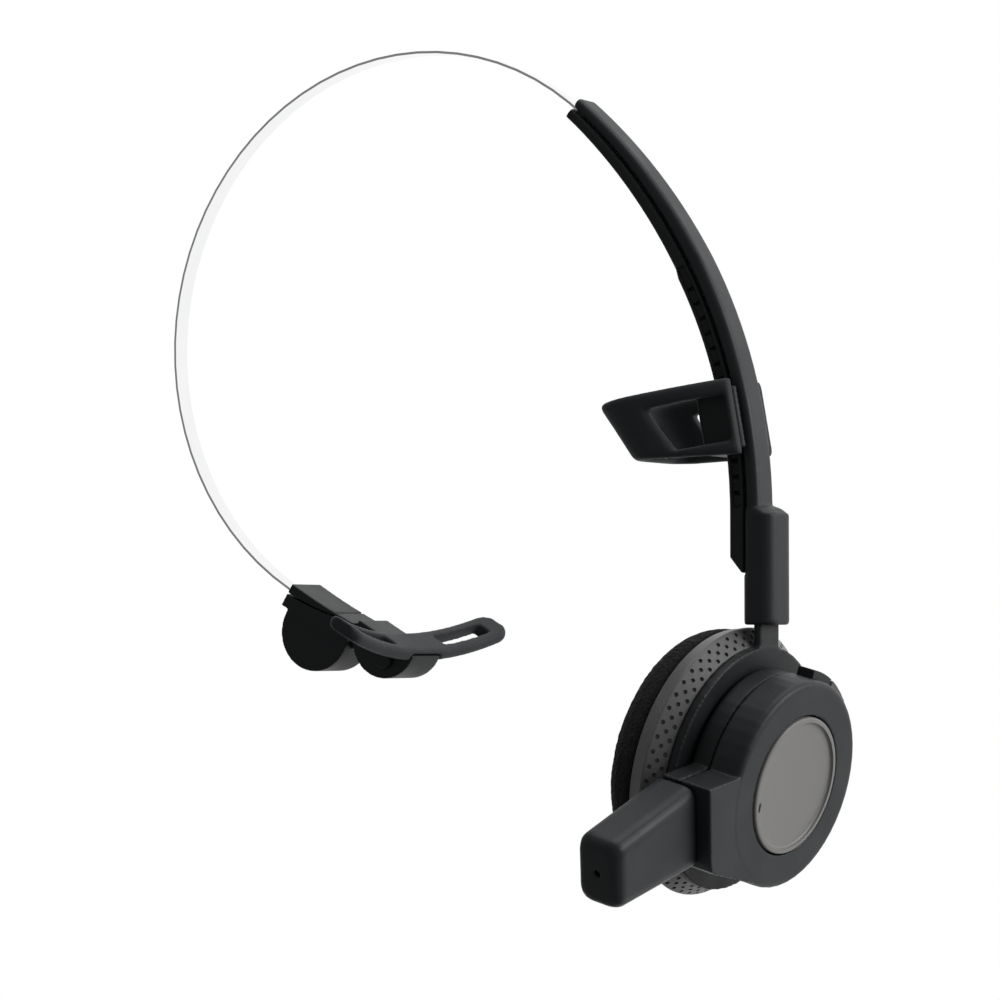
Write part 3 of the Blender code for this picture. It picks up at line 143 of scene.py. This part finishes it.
@dataclass(frozen=True)
class Finish:
    """One real finish: two tones, a texture of a real size and its gloss."""

    name: str
    slot: str
    tone: str
    second_tone: str
    pattern: Pattern
    grain_mm: float = 0.45
    grain_depth_mm: float = 0.02
    roughness: float = 0.5
    roughness_spread: float = 0.08
    metallic: float = 0.0
    specular: float = 0.5
    sheen: float = 0.0

    def material(self) -> bpy.types.Material:
        """Returns the finish's material, made the first time it is asked for."""
        made = bpy.data.materials.get(self.name)
        return made if made is not None else self._make()

    def _make(self) -> bpy.types.Material:
        """Builds the node tree.

        Returns:
            The new material.
        """
        made = bpy.data.materials.new(self.name)
        made.use_nodes = True
        tree = made.node_tree
        tree.nodes.clear()
        where = add_node(tree, "ShaderNodeTexCoord").outputs["Object"]
        per_metre = 1 / (self.grain_mm * MM)
        fine = self._texture(tree, where, per_metre)
        # Slow change of tone and gloss over some 12 mm, as handling and mould flow leave
        slow = add_node(tree, "ShaderNodeTexNoise", {"Scale": 1 / (12 * MM), "Detail": 3.0},
                        {"Vector": where}).outputs[0]
        # The fine texture's high spots also lighten the tone and its hollows stay darker: grain tone on
        # the plastics, painted shade in the foam's cells
        grain_and_cell_shade = add_node(tree, "ShaderNodeMath", {1: 0.5}, {0: fine}, operation="MULTIPLY")
        mottle_and_cell_shade = add_node(tree, "ShaderNodeMath", None, {0: slow, 1: grain_and_cell_shade.outputs[0]},
                         operation="ADD", use_clamp=True)
        tone = add_node(tree, "ShaderNodeMix", {6: linear(self.tone), 7: linear(self.second_tone)},
                        data_type="RGBA")
        tree.links.new(mottle_and_cell_shade.outputs[0], tone.inputs[0])
        gloss = add_node(tree, "ShaderNodeMapRange",
                         {1: 0.3, 2: 0.7, 3: self.roughness - self.roughness_spread,
                          4: self.roughness + self.roughness_spread}, {0: slow})
        bump = add_node(tree, "ShaderNodeBump",
                        {"Strength": 1.0, "Distance": self.grain_depth_mm * MM}, {"Height": fine})
        shader = add_node(
            tree, "ShaderNodeBsdfPrincipled",
            {"Metallic": self.metallic, "Specular IOR Level": self.specular,
             "Sheen Weight": self.sheen, "Sheen Roughness": 0.5},
            {"Base Color": tone.outputs[2], "Roughness": gloss.outputs[0], "Normal": bump.outputs[0]})
        add_node(tree, "ShaderNodeOutputMaterial", links={"Surface": shader.outputs[0]})
        return made

    def _texture(self, tree: bpy.types.NodeTree, where: bpy.types.NodeSocket,
                 per_metre: float) -> bpy.types.NodeSocket:
        """Adds the fine texture's nodes.

        Args:
            tree: the material's node tree.
            where: coordinates in metres.
            per_metre: cells to the metre.

        Returns:
            The socket that carries the height, 0 to 1.
        """
        if self.pattern is Pattern.FOAM:
            # The foam's cell pattern sets its pits and, through the tone, paints shade into the cell
            # hollows
            cell_height_and_shade = add_node(tree, "ShaderNodeTexVoronoi", {"Scale": per_metre}, {"Vector": where})
            return cell_height_and_shade.outputs["Distance"]
        if self.pattern is Pattern.POLISHED:
            # Rolling lines run along the strip, which lies in the XZ plane
            lines = add_node(tree, "ShaderNodeMapping", {"Scale": (0.02, 1.0, 0.02)}, {"Vector": where})
            streaks = add_node(tree, "ShaderNodeTexNoise", {"Scale": per_metre, "Detail": 4.0},
                               {"Vector": lines.outputs[0]})
            return streaks.outputs[0]
        if self.pattern is Pattern.WOVEN:
            weave = add_node(tree, "ShaderNodeTexChecker", {"Scale": per_metre}, {"Vector": where})
            return weave.outputs["Fac"]
        grit = add_node(tree, "ShaderNodeTexNoise",
                        {"Scale": per_metre, "Detail": 2.0 if self.pattern is Pattern.RUBBER else 5.0,
                         "Roughness": 0.6}, {"Vector": where})
        return grit.outputs[0]


# ABS moulded in a finely eroded tool: deep black, broken soft highlights
BLACK_ABS = Finish("satin_black_abs", "black_plastic", "141617", "1D2022", Pattern.MOULDED,
                   specular=0.3, roughness=0.5)
# The arm's and the drum's outer skins get a lighter charcoal copy of the black ABS, a painted lit tone
# for the faces that catch the light, in satin
PAINTED_LIT_ABS = Finish("black_abs_painted_lit_tone", "dark_plastic", "1B1E20", "272A2C", Pattern.MOULDED,
                  grain_mm=0.4, specular=0.3, roughness=0.46)
# Painted ABS, warm mid grey with a slight metal flake
BUTTON_PAINT = Finish("warm_grey_paint", "grey_plastic", "706F6D", "7E7D7B", Pattern.MOULDED,
                      grain_mm=0.3, grain_depth_mm=0.008, roughness=0.38, specular=0.5)
KEY_GREY = Finish("key_grey_abs", "grey_plastic", "4A4A49", "575655", Pattern.MOULDED,
                  grain_mm=0.35, roughness=0.45, specular=0.4)
VENT_ABS = Finish("vent_ring_abs", "ring_plastic", "545454", "646463", Pattern.MOULDED,
                  grain_mm=0.35, grain_depth_mm=0.012, roughness=0.42, specular=0.5)
# Thermoplastic elastomer: flat, slightly dusty black that scatters at grazing angles
PAD_RUBBER = Finish("soft_black_elastomer", "soft_rubber", "202325", "2D3033", Pattern.RUBBER,
                    grain_mm=0.7, roughness=0.68, specular=0.25, sheen=0.06)
# Reticulated polyurethane foam: black, its cell mouths about 0.7 mm across; the near-black tone falls
# in the cell hollows and the lighter one on the cell walls, as painted shade
EAR_FOAM = Finish("foam_with_painted_cell_shade", "foam", "0A0A0A", "2C2C2D", Pattern.FOAM, grain_mm=0.7,
                  grain_depth_mm=0.25, roughness=0.92, specular=0.1, sheen=0.05)
SPRING_STEEL = Finish("polished_spring_steel", "polished_steel", "ECEDEE", "F6F6F7", Pattern.POLISHED,
                      grain_mm=0.25, grain_depth_mm=0.001, roughness=0.1, roughness_spread=0.04,
                      metallic=1.0)
ZINC_STEEL = Finish("zinc_plated_steel", "dark_steel", "7C7D80", "8C8D90", Pattern.POLISHED,
                    roughness=0.32, metallic=1.0)
SOLDER_MASK = Finish("solder_mask", "board", "0C3B22", "12472B", Pattern.FLAT, roughness=0.4)
POUCH_FOIL = Finish("laminated_foil", "battery_foil", "9A9CA0", "AEB0B4", Pattern.FLAT,
                    roughness=0.34, metallic=0.6)
DRIVER_CLOTH = Finish("acoustic_cloth", "foam", "0A0A0A", "161616", Pattern.WOVEN, grain_mm=0.25,
                      roughness=0.9, specular=0.1)
# Moulded lens over the lamp: dark and glossy while the lamp is off
LAMP_LENS = Finish("smoked_lens", "dark_plastic", "1A1A1B", "242425", Pattern.FLAT,
                   roughness=0.16, grain_depth_mm=0.001)

HIDDEN_FINISHES = {
    "acoustic_cloth": DRIVER_CLOTH, "baffle": BLACK_ABS, "battery": POUCH_FOIL,
    "main_board": SOLDER_MASK, "button_switch": BLACK_ABS, "mic_capsule": ZINC_STEEL,
    "speaker_driver": BLACK_ABS, "speaker_magnet": ZINC_STEEL, "pivot_stud": BLACK_ABS,
    "pivot_clip": ZINC_STEEL, "arm_screw_bottom": ZINC_STEEL, "arm_screw_top": ZINC_STEEL,
    "carrier_screw": ZINC_STEEL, "tbar_pin": BLACK_ABS,
}


def body_of(node: str) -> str:
    """Returns the name of the body that a CAD node belongs to."""
    return frame["nodes"][node]["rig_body"]


def new_object(name: str, mesh: bpy.types.Mesh) -> bpy.types.Object:
    """Returns a linked object at the origin that holds the mesh."""
    made = bpy.data.objects.new(name, mesh)
    bpy.context.scene.collection.objects.link(made)
    return made


def merged_copy(node: str, name: str) -> bpy.types.Object:
    """Copies a CAD node's surface with its points joined.

    Args:
        node: the CAD node.
        name: name of the copy.

    Returns:
        An object with plain points and faces, and none of the node's stored normals.
    """
    shape = bmesh.new()
    shape.from_mesh(frame["nodes"][node].data)
    bmesh.ops.remove_doubles(shape, verts=shape.verts, dist=2e-6)
    shape.verts.index_update()
    points = [v.co.copy() for v in shape.verts]
    faces = [[v.index for v in f.verts] for f in shape.faces]
    shape.free()
    mesh = bpy.data.meshes.new(name)
    mesh.from_pydata(points, [], faces)
    mesh.validate()
    return new_object(name, mesh)


def frozen(obj: bpy.types.Object) -> bpy.types.Object:
    """Applies an object's modifiers by swapping in its evaluated mesh.

    Args:
        obj: an object at the origin.

    Returns:
        The same object, with no modifiers.
    """
    graph = bpy.context.evaluated_depsgraph_get()
    final = bpy.data.meshes.new_from_object(obj.evaluated_get(graph), depsgraph=graph)
    old = obj.data
    obj.modifiers.clear()
    obj.data = final
    if old.users == 0:
        bpy.data.meshes.remove(old)
    return obj


def rounded_copy(node: str, name: str, grid_mm: float, rounding: int) -> bpy.types.Object:
    """Copies a CAD node on a fine even grid and eases its edges.

    Args:
        node: the CAD node.
        name: name of the copy.
        grid_mm: spacing of the grid.
        rounding: how many times the points are averaged with their neighbours.

    Returns:
        The closed, smooth copy.
    """
    obj = merged_copy(node, name)
    remesh = obj.modifiers.new("grid", "REMESH")
    remesh.mode = "VOXEL"
    remesh.voxel_size = grid_mm * MM
    remesh.use_smooth_shade = True
    ease = obj.modifiers.new("ease", "SMOOTH")
    ease.factor = 0.5
    ease.iterations = rounding
    return frozen(obj)


def dressed(obj: bpy.types.Object, finish: Finish) -> bpy.types.Object:
    """Gives a piece its finish as its only material."""
    obj.data.materials.clear()
    obj.data.materials.append(finish.material())
    return obj


def placed(obj: bpy.types.Object, body: str, *nodes: str) -> bpy.types.Object:
    """Makes a piece move with a body and stand for CAD nodes, and reports it."""
    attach(obj, body)
    if nodes:
        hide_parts(*nodes)
    LOG.info("%s: %d faces on %s", obj.name, len(obj.data.polygons), body)
    return obj


@dataclass
class SoftEdgedPart:
    """A moulded part from its CAD solid, with every edge rounded as the tool leaves it."""

    node: str
    finish: Finish
    grid_mm: float = 0.25
    rounding: int = 5

    def build(self) -> bpy.types.Object:
        """Remeshes the solid finely, eases its edges and dresses it.

        Returns:
            The finished piece, riding on the node's body.
        """
        obj = rounded_copy(self.node, self.node + "_moulding", self.grid_mm, self.rounding)
        dressed(obj, self.finish)
        return placed(obj, body_of(self.node), self.node)


@dataclass
class HeadBand:
    """The sprung strip of polished steel."""

    node: str = "band_spring"
    crease: float = radians(32)
    finish: Finish = SPRING_STEEL

    def build(self) -> bpy.types.Object:
        """Returns the strip, smooth along its length with crisp rolled edges."""
        obj = merged_copy(self.node, "band_strip")
        obj.data.shade_smooth()
        obj.data.set_sharp_from_angle(angle=self.crease)
        dressed(obj, self.finish)
        return placed(obj, body_of(self.node), self.node)


@dataclass
class FoamCushion:
    """The dished disc of open-cell foam that lies on the ear."""

    node: str = "ear_cushion"
    finish: Finish = EAR_FOAM
    grid_mm: float = 0.42
    rounding: int = 14
    cell_mm: float = 1.1
    relief_mm: float = 0.2
    cell_level: float = 0.75
    lump_mm: float = 7.0
    lump_share: float = 0.6
    fill: float = 0.8

    def build(self) -> bpy.types.Object:
        """Rounds the disc's rim and raises the foam's cells.

        Returns:
            The cushion.
        """
        obj = rounded_copy(self.node, "foam_cushion", self.grid_mm, self.rounding)
        self._raise_cells(obj.data)
        dressed(obj, self.finish)
        return placed(obj, body_of(self.node), self.node)

    def _raise_cells(self, mesh: bpy.types.Mesh) -> None:
        """Moves each point along its normal by the foam's cell pattern."""
        shape = bmesh.new()
        shape.from_mesh(mesh)
        moves = []
        for vert in shape.verts:
            at = vert.co / (self.cell_mm * MM)
            nearest = noise.voronoi(at)[0][0]
            lump = noise.noise(vert.co / (self.lump_mm * MM))
            height = nearest - self.cell_level + self.lump_share * lump
            moves.append(vert.normal * (self.relief_mm * MM) * height)
        for vert, move in zip(shape.verts, moves):
            vert.co += move
        shape.to_mesh(mesh)
        shape.free()


@dataclass
class SoftPad:
    """A pad of soft elastomer, crowned, with full round edges."""

    node: str
    grid_mm: float = 0.3
    rounding: int = 16
    fill: float = 0.7
    finish: Finish = PAD_RUBBER

    def build(self) -> bpy.types.Object:
        """Returns the pad."""
        obj = rounded_copy(self.node, self.node + "_skin", self.grid_mm, self.rounding)
        dressed(obj, self.finish)
        return placed(obj, body_of(self.node), self.node)


@dataclass
class TalkButton:
    """The round talk button: raised satin rim round a shallow dish, with a lamp slot."""

    radius: float = 13.8 * MM
    proud: float = 0.3 * MM
    dish: float = 0.6 * MM
    thickness: float = 1.8 * MM
    rim_inner: float = 12.2 * MM
    edge: float = 0.4 * MM
    bow: float = 0.2 * MM
    rim_rise: float = 0.6 * MM
    lens_proud: float = 0.12 * MM
    back_step: float = 0.6 * MM
    crease: float = radians(50)
    segments: int = 144
    dish_steps: int = 10
    arc_steps: int = 6
    lamp_centre: tuple[float, float] = (-10.7 * MM, -4.2 * MM)
    lamp_half: tuple[float, float] = (0.3 * MM, 1.0 * MM)
    finish: Finish = BUTTON_PAINT

    def build(self) -> list[bpy.types.Object]:
        """Returns the button and its lamp lens."""
        return [self._disc(), self._lamp()]

    def _profile(self) -> list[tuple[float, float]]:
        """Returns the half section as (radius, height), from the dish's centre round to the back."""
        floor = self.proud - self.dish
        steps, arc = self.dish_steps, self.arc_steps
        line = [(self.rim_inner * k / steps, floor - self.bow * (1 - (k / steps) ** 2))
                for k in range(steps + 1)]
        for k in range(1, arc + 1):
            turn = 0.5 * pi * k / arc
            line.append((self.rim_inner + self.rim_rise * sin(turn),
                         floor + self.dish * (1 - cos(turn))))
        for k in range(arc + 1):
            turn = 0.5 * pi * k / arc
            line.append((self.radius - self.edge * (1 - sin(turn)),
                         self.proud - self.edge * (1 - cos(turn))))
        low = floor - self.thickness + self.back_step
        return line + [(self.radius, low), (0.0, low)]

    def _disc(self) -> bpy.types.Object:
        """Returns the turned disc."""
        obj = new_object("talk_button_disc", turned_mesh("talk_button_disc", self._profile(),
                                                        self.segments, CUP))
        obj.data.set_sharp_from_angle(angle=self.crease)
        dressed(obj, self.finish)
        return placed(obj, body_of("talk_button"), "talk_button")

    def _lamp(self) -> bpy.types.Object:
        """Returns the lamp's lens, a small pill with round ends in the dish."""
        shape = bmesh.new()
        width, half = self.lamp_half[0], self.lamp_half[1] - self.lamp_half[0]
        outline = []
        for end, start in ((half, 0.0), (-half, pi)):
            for k in range(9):
                turn = start + pi * k / 8
                outline.append((width * cos(turn), end + width * sin(turn)))
        top = self.proud - self.dish + self.lens_proud
        rings = []
        for mottle_and_cell_shade, height in ((1.0, top - 0.5 * MM), (1.0, top - 0.08 * MM), (0.7, top)):
            rings.append([shape.verts.new(CUP @ Vector((self.lamp_centre[0] + x * mottle_and_cell_shade,
                                                         self.lamp_centre[1] + y * mottle_and_cell_shade, height)))
                          for x, y in outline])
        skin(shape, rings)
        shape.faces.new(rings[0][::-1])
        shape.faces.new(rings[-1])
        obj = new_object("lamp_lens", finished_mesh("lamp_lens", shape))
        dressed(obj, LAMP_LENS)
        return placed(obj, body_of("talk_button"))


def skin(shape: bmesh.types.BMesh, rings: list[list[bmesh.types.BMVert]]) -> None:
    """Joins rings of equally many points with quads."""
    for low, high in zip(rings, rings[1:]):
        count = len(low)
        for i in range(count):
            j = (i + 1) % count
            shape.faces.new((low[i], low[j], high[j], high[i]))


def finished_mesh(name: str, shape: bmesh.types.BMesh) -> bpy.types.Mesh:
    """Merges doubles, points the faces outwards and returns the smooth mesh."""
    bmesh.ops.remove_doubles(shape, verts=shape.verts, dist=1e-7)
    bmesh.ops.recalc_face_normals(shape, faces=shape.faces)
    mesh = bpy.data.meshes.new(name)
    shape.to_mesh(mesh)
    shape.free()
    mesh.shade_smooth()
    return mesh


def turned_mesh(name: str, profile: list[tuple[float, float]], segments: int,
                place: Matrix) -> bpy.types.Mesh:
    """Turns a half section about the place's z axis.

    Args:
        name: name of the mesh.
        profile: (radius, height) points; a radius of 0 closes on the axis.
        segments: steps round.
        place: frame of the axis.

    Returns:
        A closed mesh.
    """
    shape = bmesh.new()
    rings = []
    for radius, height in profile:
        ring = []
        for k in range(segments):
            angle = 2 * pi * k / segments
            point = Vector((radius * cos(angle), radius * sin(angle), height))
            ring.append(shape.verts.new(place @ point))
        rings.append(ring)
    skin(shape, rings)
    return finished_mesh(name, shape)


@dataclass
class VentRing:
    """The flared ring behind the foam, with rows of small vent holes in its cone."""

    back: float = -14.2 * MM
    back_radius: float = 24.5 * MM
    wide: float = -17.4 * MM
    wide_radius: float = 27.3 * MM
    front: float = -20.9 * MM
    front_radius: float = 26.2 * MM
    hub_radius: float = 5.6 * MM
    wall: float = 1.5 * MM
    per_row: int = 56
    rows: int = 3
    hole_radius: float = 0.46 * MM
    hole_depth: float = 0.5 * MM
    row_share: tuple[float, float] = (0.06, 0.94)
    finish: Finish = VENT_ABS

    def build(self) -> bpy.types.Object:
        """Builds one tile of the cone, repeats it and adds the plain rest of the ring.

        Returns:
            The ring as one closed piece.
        """
        tile = new_object("vent_ring_body", self._tile())
        modifier = tile.modifiers.new("repeat", "NODES")
        modifier.node_group = repeat_tree(self.finish.material())
        for item in modifier.node_group.interface.items_tree:
            if item.item_type == "SOCKET" and item.in_out == "INPUT" and item.name == "Count":
                modifier[item.identifier] = self.per_row
        frozen(tile)
        self._add_rest(tile.data)
        dressed(tile, self.finish)
        return placed(tile, body_of("vent_ring"), "vent_ring")

    def _on_cone(self, turn: float, mottle_and_cell_shade: float, depth: float = 0.0) -> Vector:
        """Returns the point at an angle and a share of the way down the cone, some depth inside it."""
        radius = self.back_radius + (self.wide_radius - self.back_radius) * mottle_and_cell_shade
        height = self.back + (self.wide - self.back) * mottle_and_cell_shade
        slope = Vector((self.back - self.wide, self.wide_radius - self.back_radius)).normalized()
        radius -= depth * slope[0]
        height -= depth * slope[1]
        return Vector((radius * cos(turn), radius * sin(turn), height))

    def _tile(self) -> bpy.types.Mesh:
        """Returns one slice of the cone, a hole in each row and every second row half a step on."""
        step = 2 * pi / self.per_row
        length = Vector((self.wide_radius - self.back_radius, self.back - self.wide)).length
        low, high = self.row_share
        tall = (high - low) / self.rows
        shape = bmesh.new()
        bands = [(0.0, low), (high, 1.0)]
        for start, end in bands:
            for k in range(4):
                a, b = (k / 4 - 0.5) * step, ((k + 1) / 4 - 0.5) * step
                quad = [(a, start), (b, start), (b, end), (a, end)]
                shape.faces.new([shape.verts.new(self._on_cone(t, s)) for t, s in quad])
        for row in range(self.rows):
            middle = low + tall * (row + 0.5)
            shift = step / 2 if row % 2 else 0.0
            mean = self.back_radius + (self.wide_radius - self.back_radius) * middle
            edge = [(x, -1.0) for x in (-1, -0.5, 0, 0.5)] + [(1.0, y) for y in (-1, -0.5, 0, 0.5)]
            edge += [(x, 1.0) for x in (1, 0.5, 0, -0.5)] + [(-1.0, y) for y in (1, 0.5, 0, -0.5)]
            outer, rim, well = [], [], []
            for x, y in edge:
                corner = self._on_cone(shift + x * step / 2, middle + y * tall / 2)
                outer.append(shape.verts.new(corner))
                away = Vector((x * step / 2 * mean, y * tall / 2 * length)).normalized()
                turn = shift + away[0] * self.hole_radius / mean
                mottle_and_cell_shade = middle + away[1] * self.hole_radius / length
                rim.append(shape.verts.new(self._on_cone(turn, mottle_and_cell_shade)))
                well.append(shape.verts.new(self._on_cone(turn, mottle_and_cell_shade, self.hole_depth)))
            skin(shape, [outer, rim, well])
            shape.faces.new(well)
        mesh = bpy.data.meshes.new("vent_tile")
        shape.to_mesh(mesh)
        shape.free()
        return mesh

    def _add_rest(self, mesh: bpy.types.Mesh) -> None:
        """Adds the ring's plain band, inner wall and back plate, and puts the whole in place."""
        shape = bmesh.new()
        shape.from_mesh(mesh)
        around = self.per_row * 4
        plate = self.back - self.wall
        profile = [
            (self.wide_radius, self.wide), (self.wide_radius + 0.02 * MM, self.wide - 0.35 * MM),
            (self.wide_radius - 0.2 * MM, self.wide - 0.6 * MM),
            (self.front_radius + 0.15 * MM, self.front + 0.5 * MM),
            (self.front_radius - 0.1 * MM, self.front + 0.1 * MM),
            (self.front_radius - 0.4 * MM, self.front),
            (self.front_radius - self.wall + 0.2 * MM, self.front),
            (self.front_radius - self.wall, self.front + 0.3 * MM),
            (self.wide_radius - self.wall, self.wide), (self.back_radius - self.wall, plate),
            (self.hub_radius, plate), (self.hub_radius, self.back),
            (self.back_radius, self.back),
        ]
        rings = []
        for radius, height in profile:
            ring = []
            for k in range(around):
                angle = 2 * pi * (k / around) - pi / self.per_row
                ring.append(shape.verts.new((radius * cos(angle), radius * sin(angle), height)))
            rings.append(ring)
        skin(shape, rings)
        bmesh.ops.remove_doubles(shape, verts=shape.verts, dist=2e-6)
        bmesh.ops.recalc_face_normals(shape, faces=shape.faces)
        shape.transform(CUP)
        shape.to_mesh(mesh)
        shape.free()
        mesh.shade_smooth()
        mesh.set_sharp_from_angle(angle=radians(38))


def repeat_tree(material: bpy.types.Material) -> bpy.types.NodeTree:
    """Builds the node tree that repeats a slice round the z axis.

    Args:
        material: what the repeats are made of.

    Returns:
        A tree with the inputs Geometry and Count.
    """
    tree = bpy.data.node_groups.new("repeat_round_axis", "GeometryNodeTree")
    tree.interface.new_socket("Geometry", in_out="INPUT", socket_type="NodeSocketGeometry")
    count = tree.interface.new_socket("Count", in_out="INPUT", socket_type="NodeSocketInt")
    count.default_value = 12
    tree.interface.new_socket("Geometry", in_out="OUTPUT", socket_type="NodeSocketGeometry")
    given = add_node(tree, "NodeGroupInput")
    points = add_node(tree, "GeometryNodeMeshLine", {"Offset": (0.0, 0.0, 0.0)},
                      {"Count": given.outputs["Count"]})
    index = add_node(tree, "GeometryNodeInputIndex")
    step = add_node(tree, "ShaderNodeMath", {0: 2 * pi}, {1: given.outputs["Count"]},
                    operation="DIVIDE")
    angle = add_node(tree, "ShaderNodeMath", None, {0: index.outputs[0], 1: step.outputs[0]},
                     operation="MULTIPLY")
    turn = add_node(tree, "ShaderNodeCombineXYZ", None, {2: angle.outputs[0]})
    copies = add_node(tree, "GeometryNodeInstanceOnPoints", None,
                      {"Points": points.outputs[0], "Instance": given.outputs["Geometry"],
                       "Rotation": turn.outputs[0]})
    real = add_node(tree, "GeometryNodeRealizeInstances", None, {0: copies.outputs[0]})
    coat = add_node(tree, "GeometryNodeSetMaterial", {"Material": material},
                    {"Geometry": real.outputs[0]})
    add_node(tree, "NodeGroupOutput", None, {"Geometry": coat.outputs[0]})
    return tree


@dataclass
class Studio:
    """Pale floor, soft lights and the camera."""

    focal_mm: float = 133.44
    place: tuple[float, float, float] = (0.3991, -0.6568, -0.0606)
    pitch: float = radians(92.04)
    azimuth: float = radians(30.0)
    sensor_mm: float = 36.0
    nearest: float = 0.01
    floor_gap: float = 50.0 * MM
    floor_radius: float = 6.0
    shadow_edge: tuple[float, float] = (0.12, 0.3)
    own_light: tuple[float, float] = (0.8, 1.0)
    panel_edge: tuple[float, float] = (0.25, 0.75)
    dim: float = 0.2
    bright: float = 1.0
    aim: tuple[float, float, float] = (0.02, 0.0, -0.04)

    def build(self) -> None:
        """Makes the camera, the lights, the surroundings and the floor."""
        scene = bpy.context.scene
        lens = bpy.data.cameras.new("camera")
        lens.lens = self.focal_mm
        lens.sensor_width = self.sensor_mm
        lens.clip_start = self.nearest
        camera = bpy.data.objects.new("camera", lens)
        camera.location = self.place
        camera.rotation_euler = (self.pitch, 0.0, self.azimuth)
        scene.collection.objects.link(camera)
        scene.camera = camera
        self._light("key", (1.1, 0.25, 0.35), 0.7, 9.0)
        self._light("top", (0.15, 0.1, 1.1), 0.9, 6.0)
        self._world(scene)
        self._floor()
        scene.view_settings.view_transform = "Standard"

    def _light(self, name: str, place: tuple[float, float, float], size: float, power: float) -> None:
        """Adds a square soft light aimed at the object's middle."""
        lamp = bpy.data.lights.new(name, "AREA")
        lamp.size = size
        lamp.energy = power
        holder = bpy.data.objects.new(name, lamp)
        holder.location = place
        towards = Vector(self.aim) - Vector(place)
        holder.rotation_euler = towards.to_track_quat("-Z", "Y").to_euler()
        bpy.context.scene.collection.objects.link(holder)

    def _world(self, scene: bpy.types.Scene) -> None:
        """Sets white surroundings: a broad lit panel behind the object and a dim room in front."""
        world = bpy.data.worlds.new("studio")
        world.use_nodes = True
        tree = world.node_tree
        tree.nodes.clear()
        ray = add_node(tree, "ShaderNodeTexCoord").outputs["Generated"]
        apart = add_node(tree, "ShaderNodeSeparateXYZ", None, {0: ray})
        panel = add_node(tree, "ShaderNodeMapRange",
                         {1: self.panel_edge[0], 2: self.panel_edge[1], 3: self.dim, 4: self.bright},
                         {0: apart.outputs[1]}, interpolation_type="SMOOTHSTEP")
        seen = add_node(tree, "ShaderNodeLightPath").outputs["Is Camera Ray"]
        level = add_node(tree, "ShaderNodeMix", {3: 1.0}, {0: seen, 2: panel.outputs[0]})
        glow = add_node(tree, "ShaderNodeBackground", {"Color": (1.0, 1.0, 1.0, 1.0)},
                        {"Strength": level.outputs[0]})
        add_node(tree, "ShaderNodeOutputWorld", None, {"Surface": glow.outputs[0]})
        scene.world = world

    def _paper(self) -> bpy.types.Material:
        """Returns white paper that catches a shadow near the object and fades into the surroundings."""
        paper = bpy.data.materials.new("floor_paper")
        paper.use_nodes = True
        tree = paper.node_tree
        tree.nodes.clear()
        where = add_node(tree, "ShaderNodeTexCoord").outputs["Object"]
        far = add_node(tree, "ShaderNodeVectorMath", None, {0: where}, operation="LENGTH")
        (near, clear), (least, most) = self.shadow_edge, self.own_light
        fade = add_node(tree, "ShaderNodeMapRange", {1: near, 2: clear, 3: least, 4: most},
                        {0: far.outputs["Value"]}, interpolation_type="SMOOTHSTEP")
        lit = add_node(tree, "ShaderNodeBsdfDiffuse", {"Color": linear("FAFAFA")})
        white = add_node(tree, "ShaderNodeEmission", {"Color": (1.0, 1.0, 1.0, 1.0)})
        both = add_node(tree, "ShaderNodeMixShader", None,
                        {0: fade.outputs[0], 1: lit.outputs[0], 2: white.outputs[0]})
        add_node(tree, "ShaderNodeOutputMaterial", None, {"Surface": both.outputs[0]})
        return paper

    def _floor(self) -> None:
        """Adds the plain pale floor under the object."""
        low = CAD_BOX[0][2] - self.floor_gap
        shape = bmesh.new()
        bmesh.ops.create_circle(shape, cap_ends=True, segments=96, radius=self.floor_radius)
        mesh = bpy.data.meshes.new("floor")
        shape.to_mesh(mesh)
        shape.free()
        floor = new_object("floor", mesh)
        floor.location = (0.0, 0.0, low)
        floor.data.materials.append(self._paper())
        floor.visible_diffuse = False
        floor.visible_glossy = False


@dataclass
class Headset:
    """The whole headset: mouldings, strip, foam, pads, button and ring."""

    mouldings: tuple[SoftEdgedPart, ...] = (
        # The arm's outer shell, the front housing and the boom take the painted lit tone; the rear
        # shell keeps the black, as painted shade on the drum's tapering back
        SoftEdgedPart("arm_outer_shell", PAINTED_LIT_ABS, 0.25, 6),
        SoftEdgedPart("arm_inner_rail", BLACK_ABS, 0.22, 2),
        SoftEdgedPart("carrier_body", BLACK_ABS, 0.22, 6),
        SoftEdgedPart("carrier_cap", BLACK_ABS, 0.22, 6),
        SoftEdgedPart("neck_yoke", BLACK_ABS, 0.3, 4),
        SoftEdgedPart("front_housing", PAINTED_LIT_ABS, 0.28, 3),
        SoftEdgedPart("rear_shell", BLACK_ABS, 0.35, 3),
        SoftEdgedPart("boom_housing", PAINTED_LIT_ABS, 0.28, 8),
        SoftEdgedPart("support_saddle", BLACK_ABS, 0.22, 4),
        SoftEdgedPart("tbar_hub", BLACK_ABS, 0.22, 4),
        SoftEdgedPart("volume_up_key", BLACK_ABS, 0.15, 4),
        SoftEdgedPart("power_key", KEY_GREY, 0.15, 4),
        SoftEdgedPart("volume_down_key", BLACK_ABS, 0.15, 4),
    )

    def build(self) -> None:
        """Builds each assembly in turn."""
        HeadBand().build()
        for part in self.mouldings:
            part.build()
        FoamCushion().build()
        SoftPad("tbar_pad").build()
        SoftPad("support_pad", rounding=45).build()
        TalkButton().build()
        VentRing().build()
        for node, finish in HIDDEN_FINISHES.items():
            dressed(frame["nodes"][node], finish)
            LOG.info("%s dressed", node)


def main() -> None:
    """Builds the studio and the headset."""
    logging.basicConfig(level=logging.INFO, format="%(name)s: %(message)s")
    Studio().build()
    Headset().build()


if __name__ == "__main__":
    main()
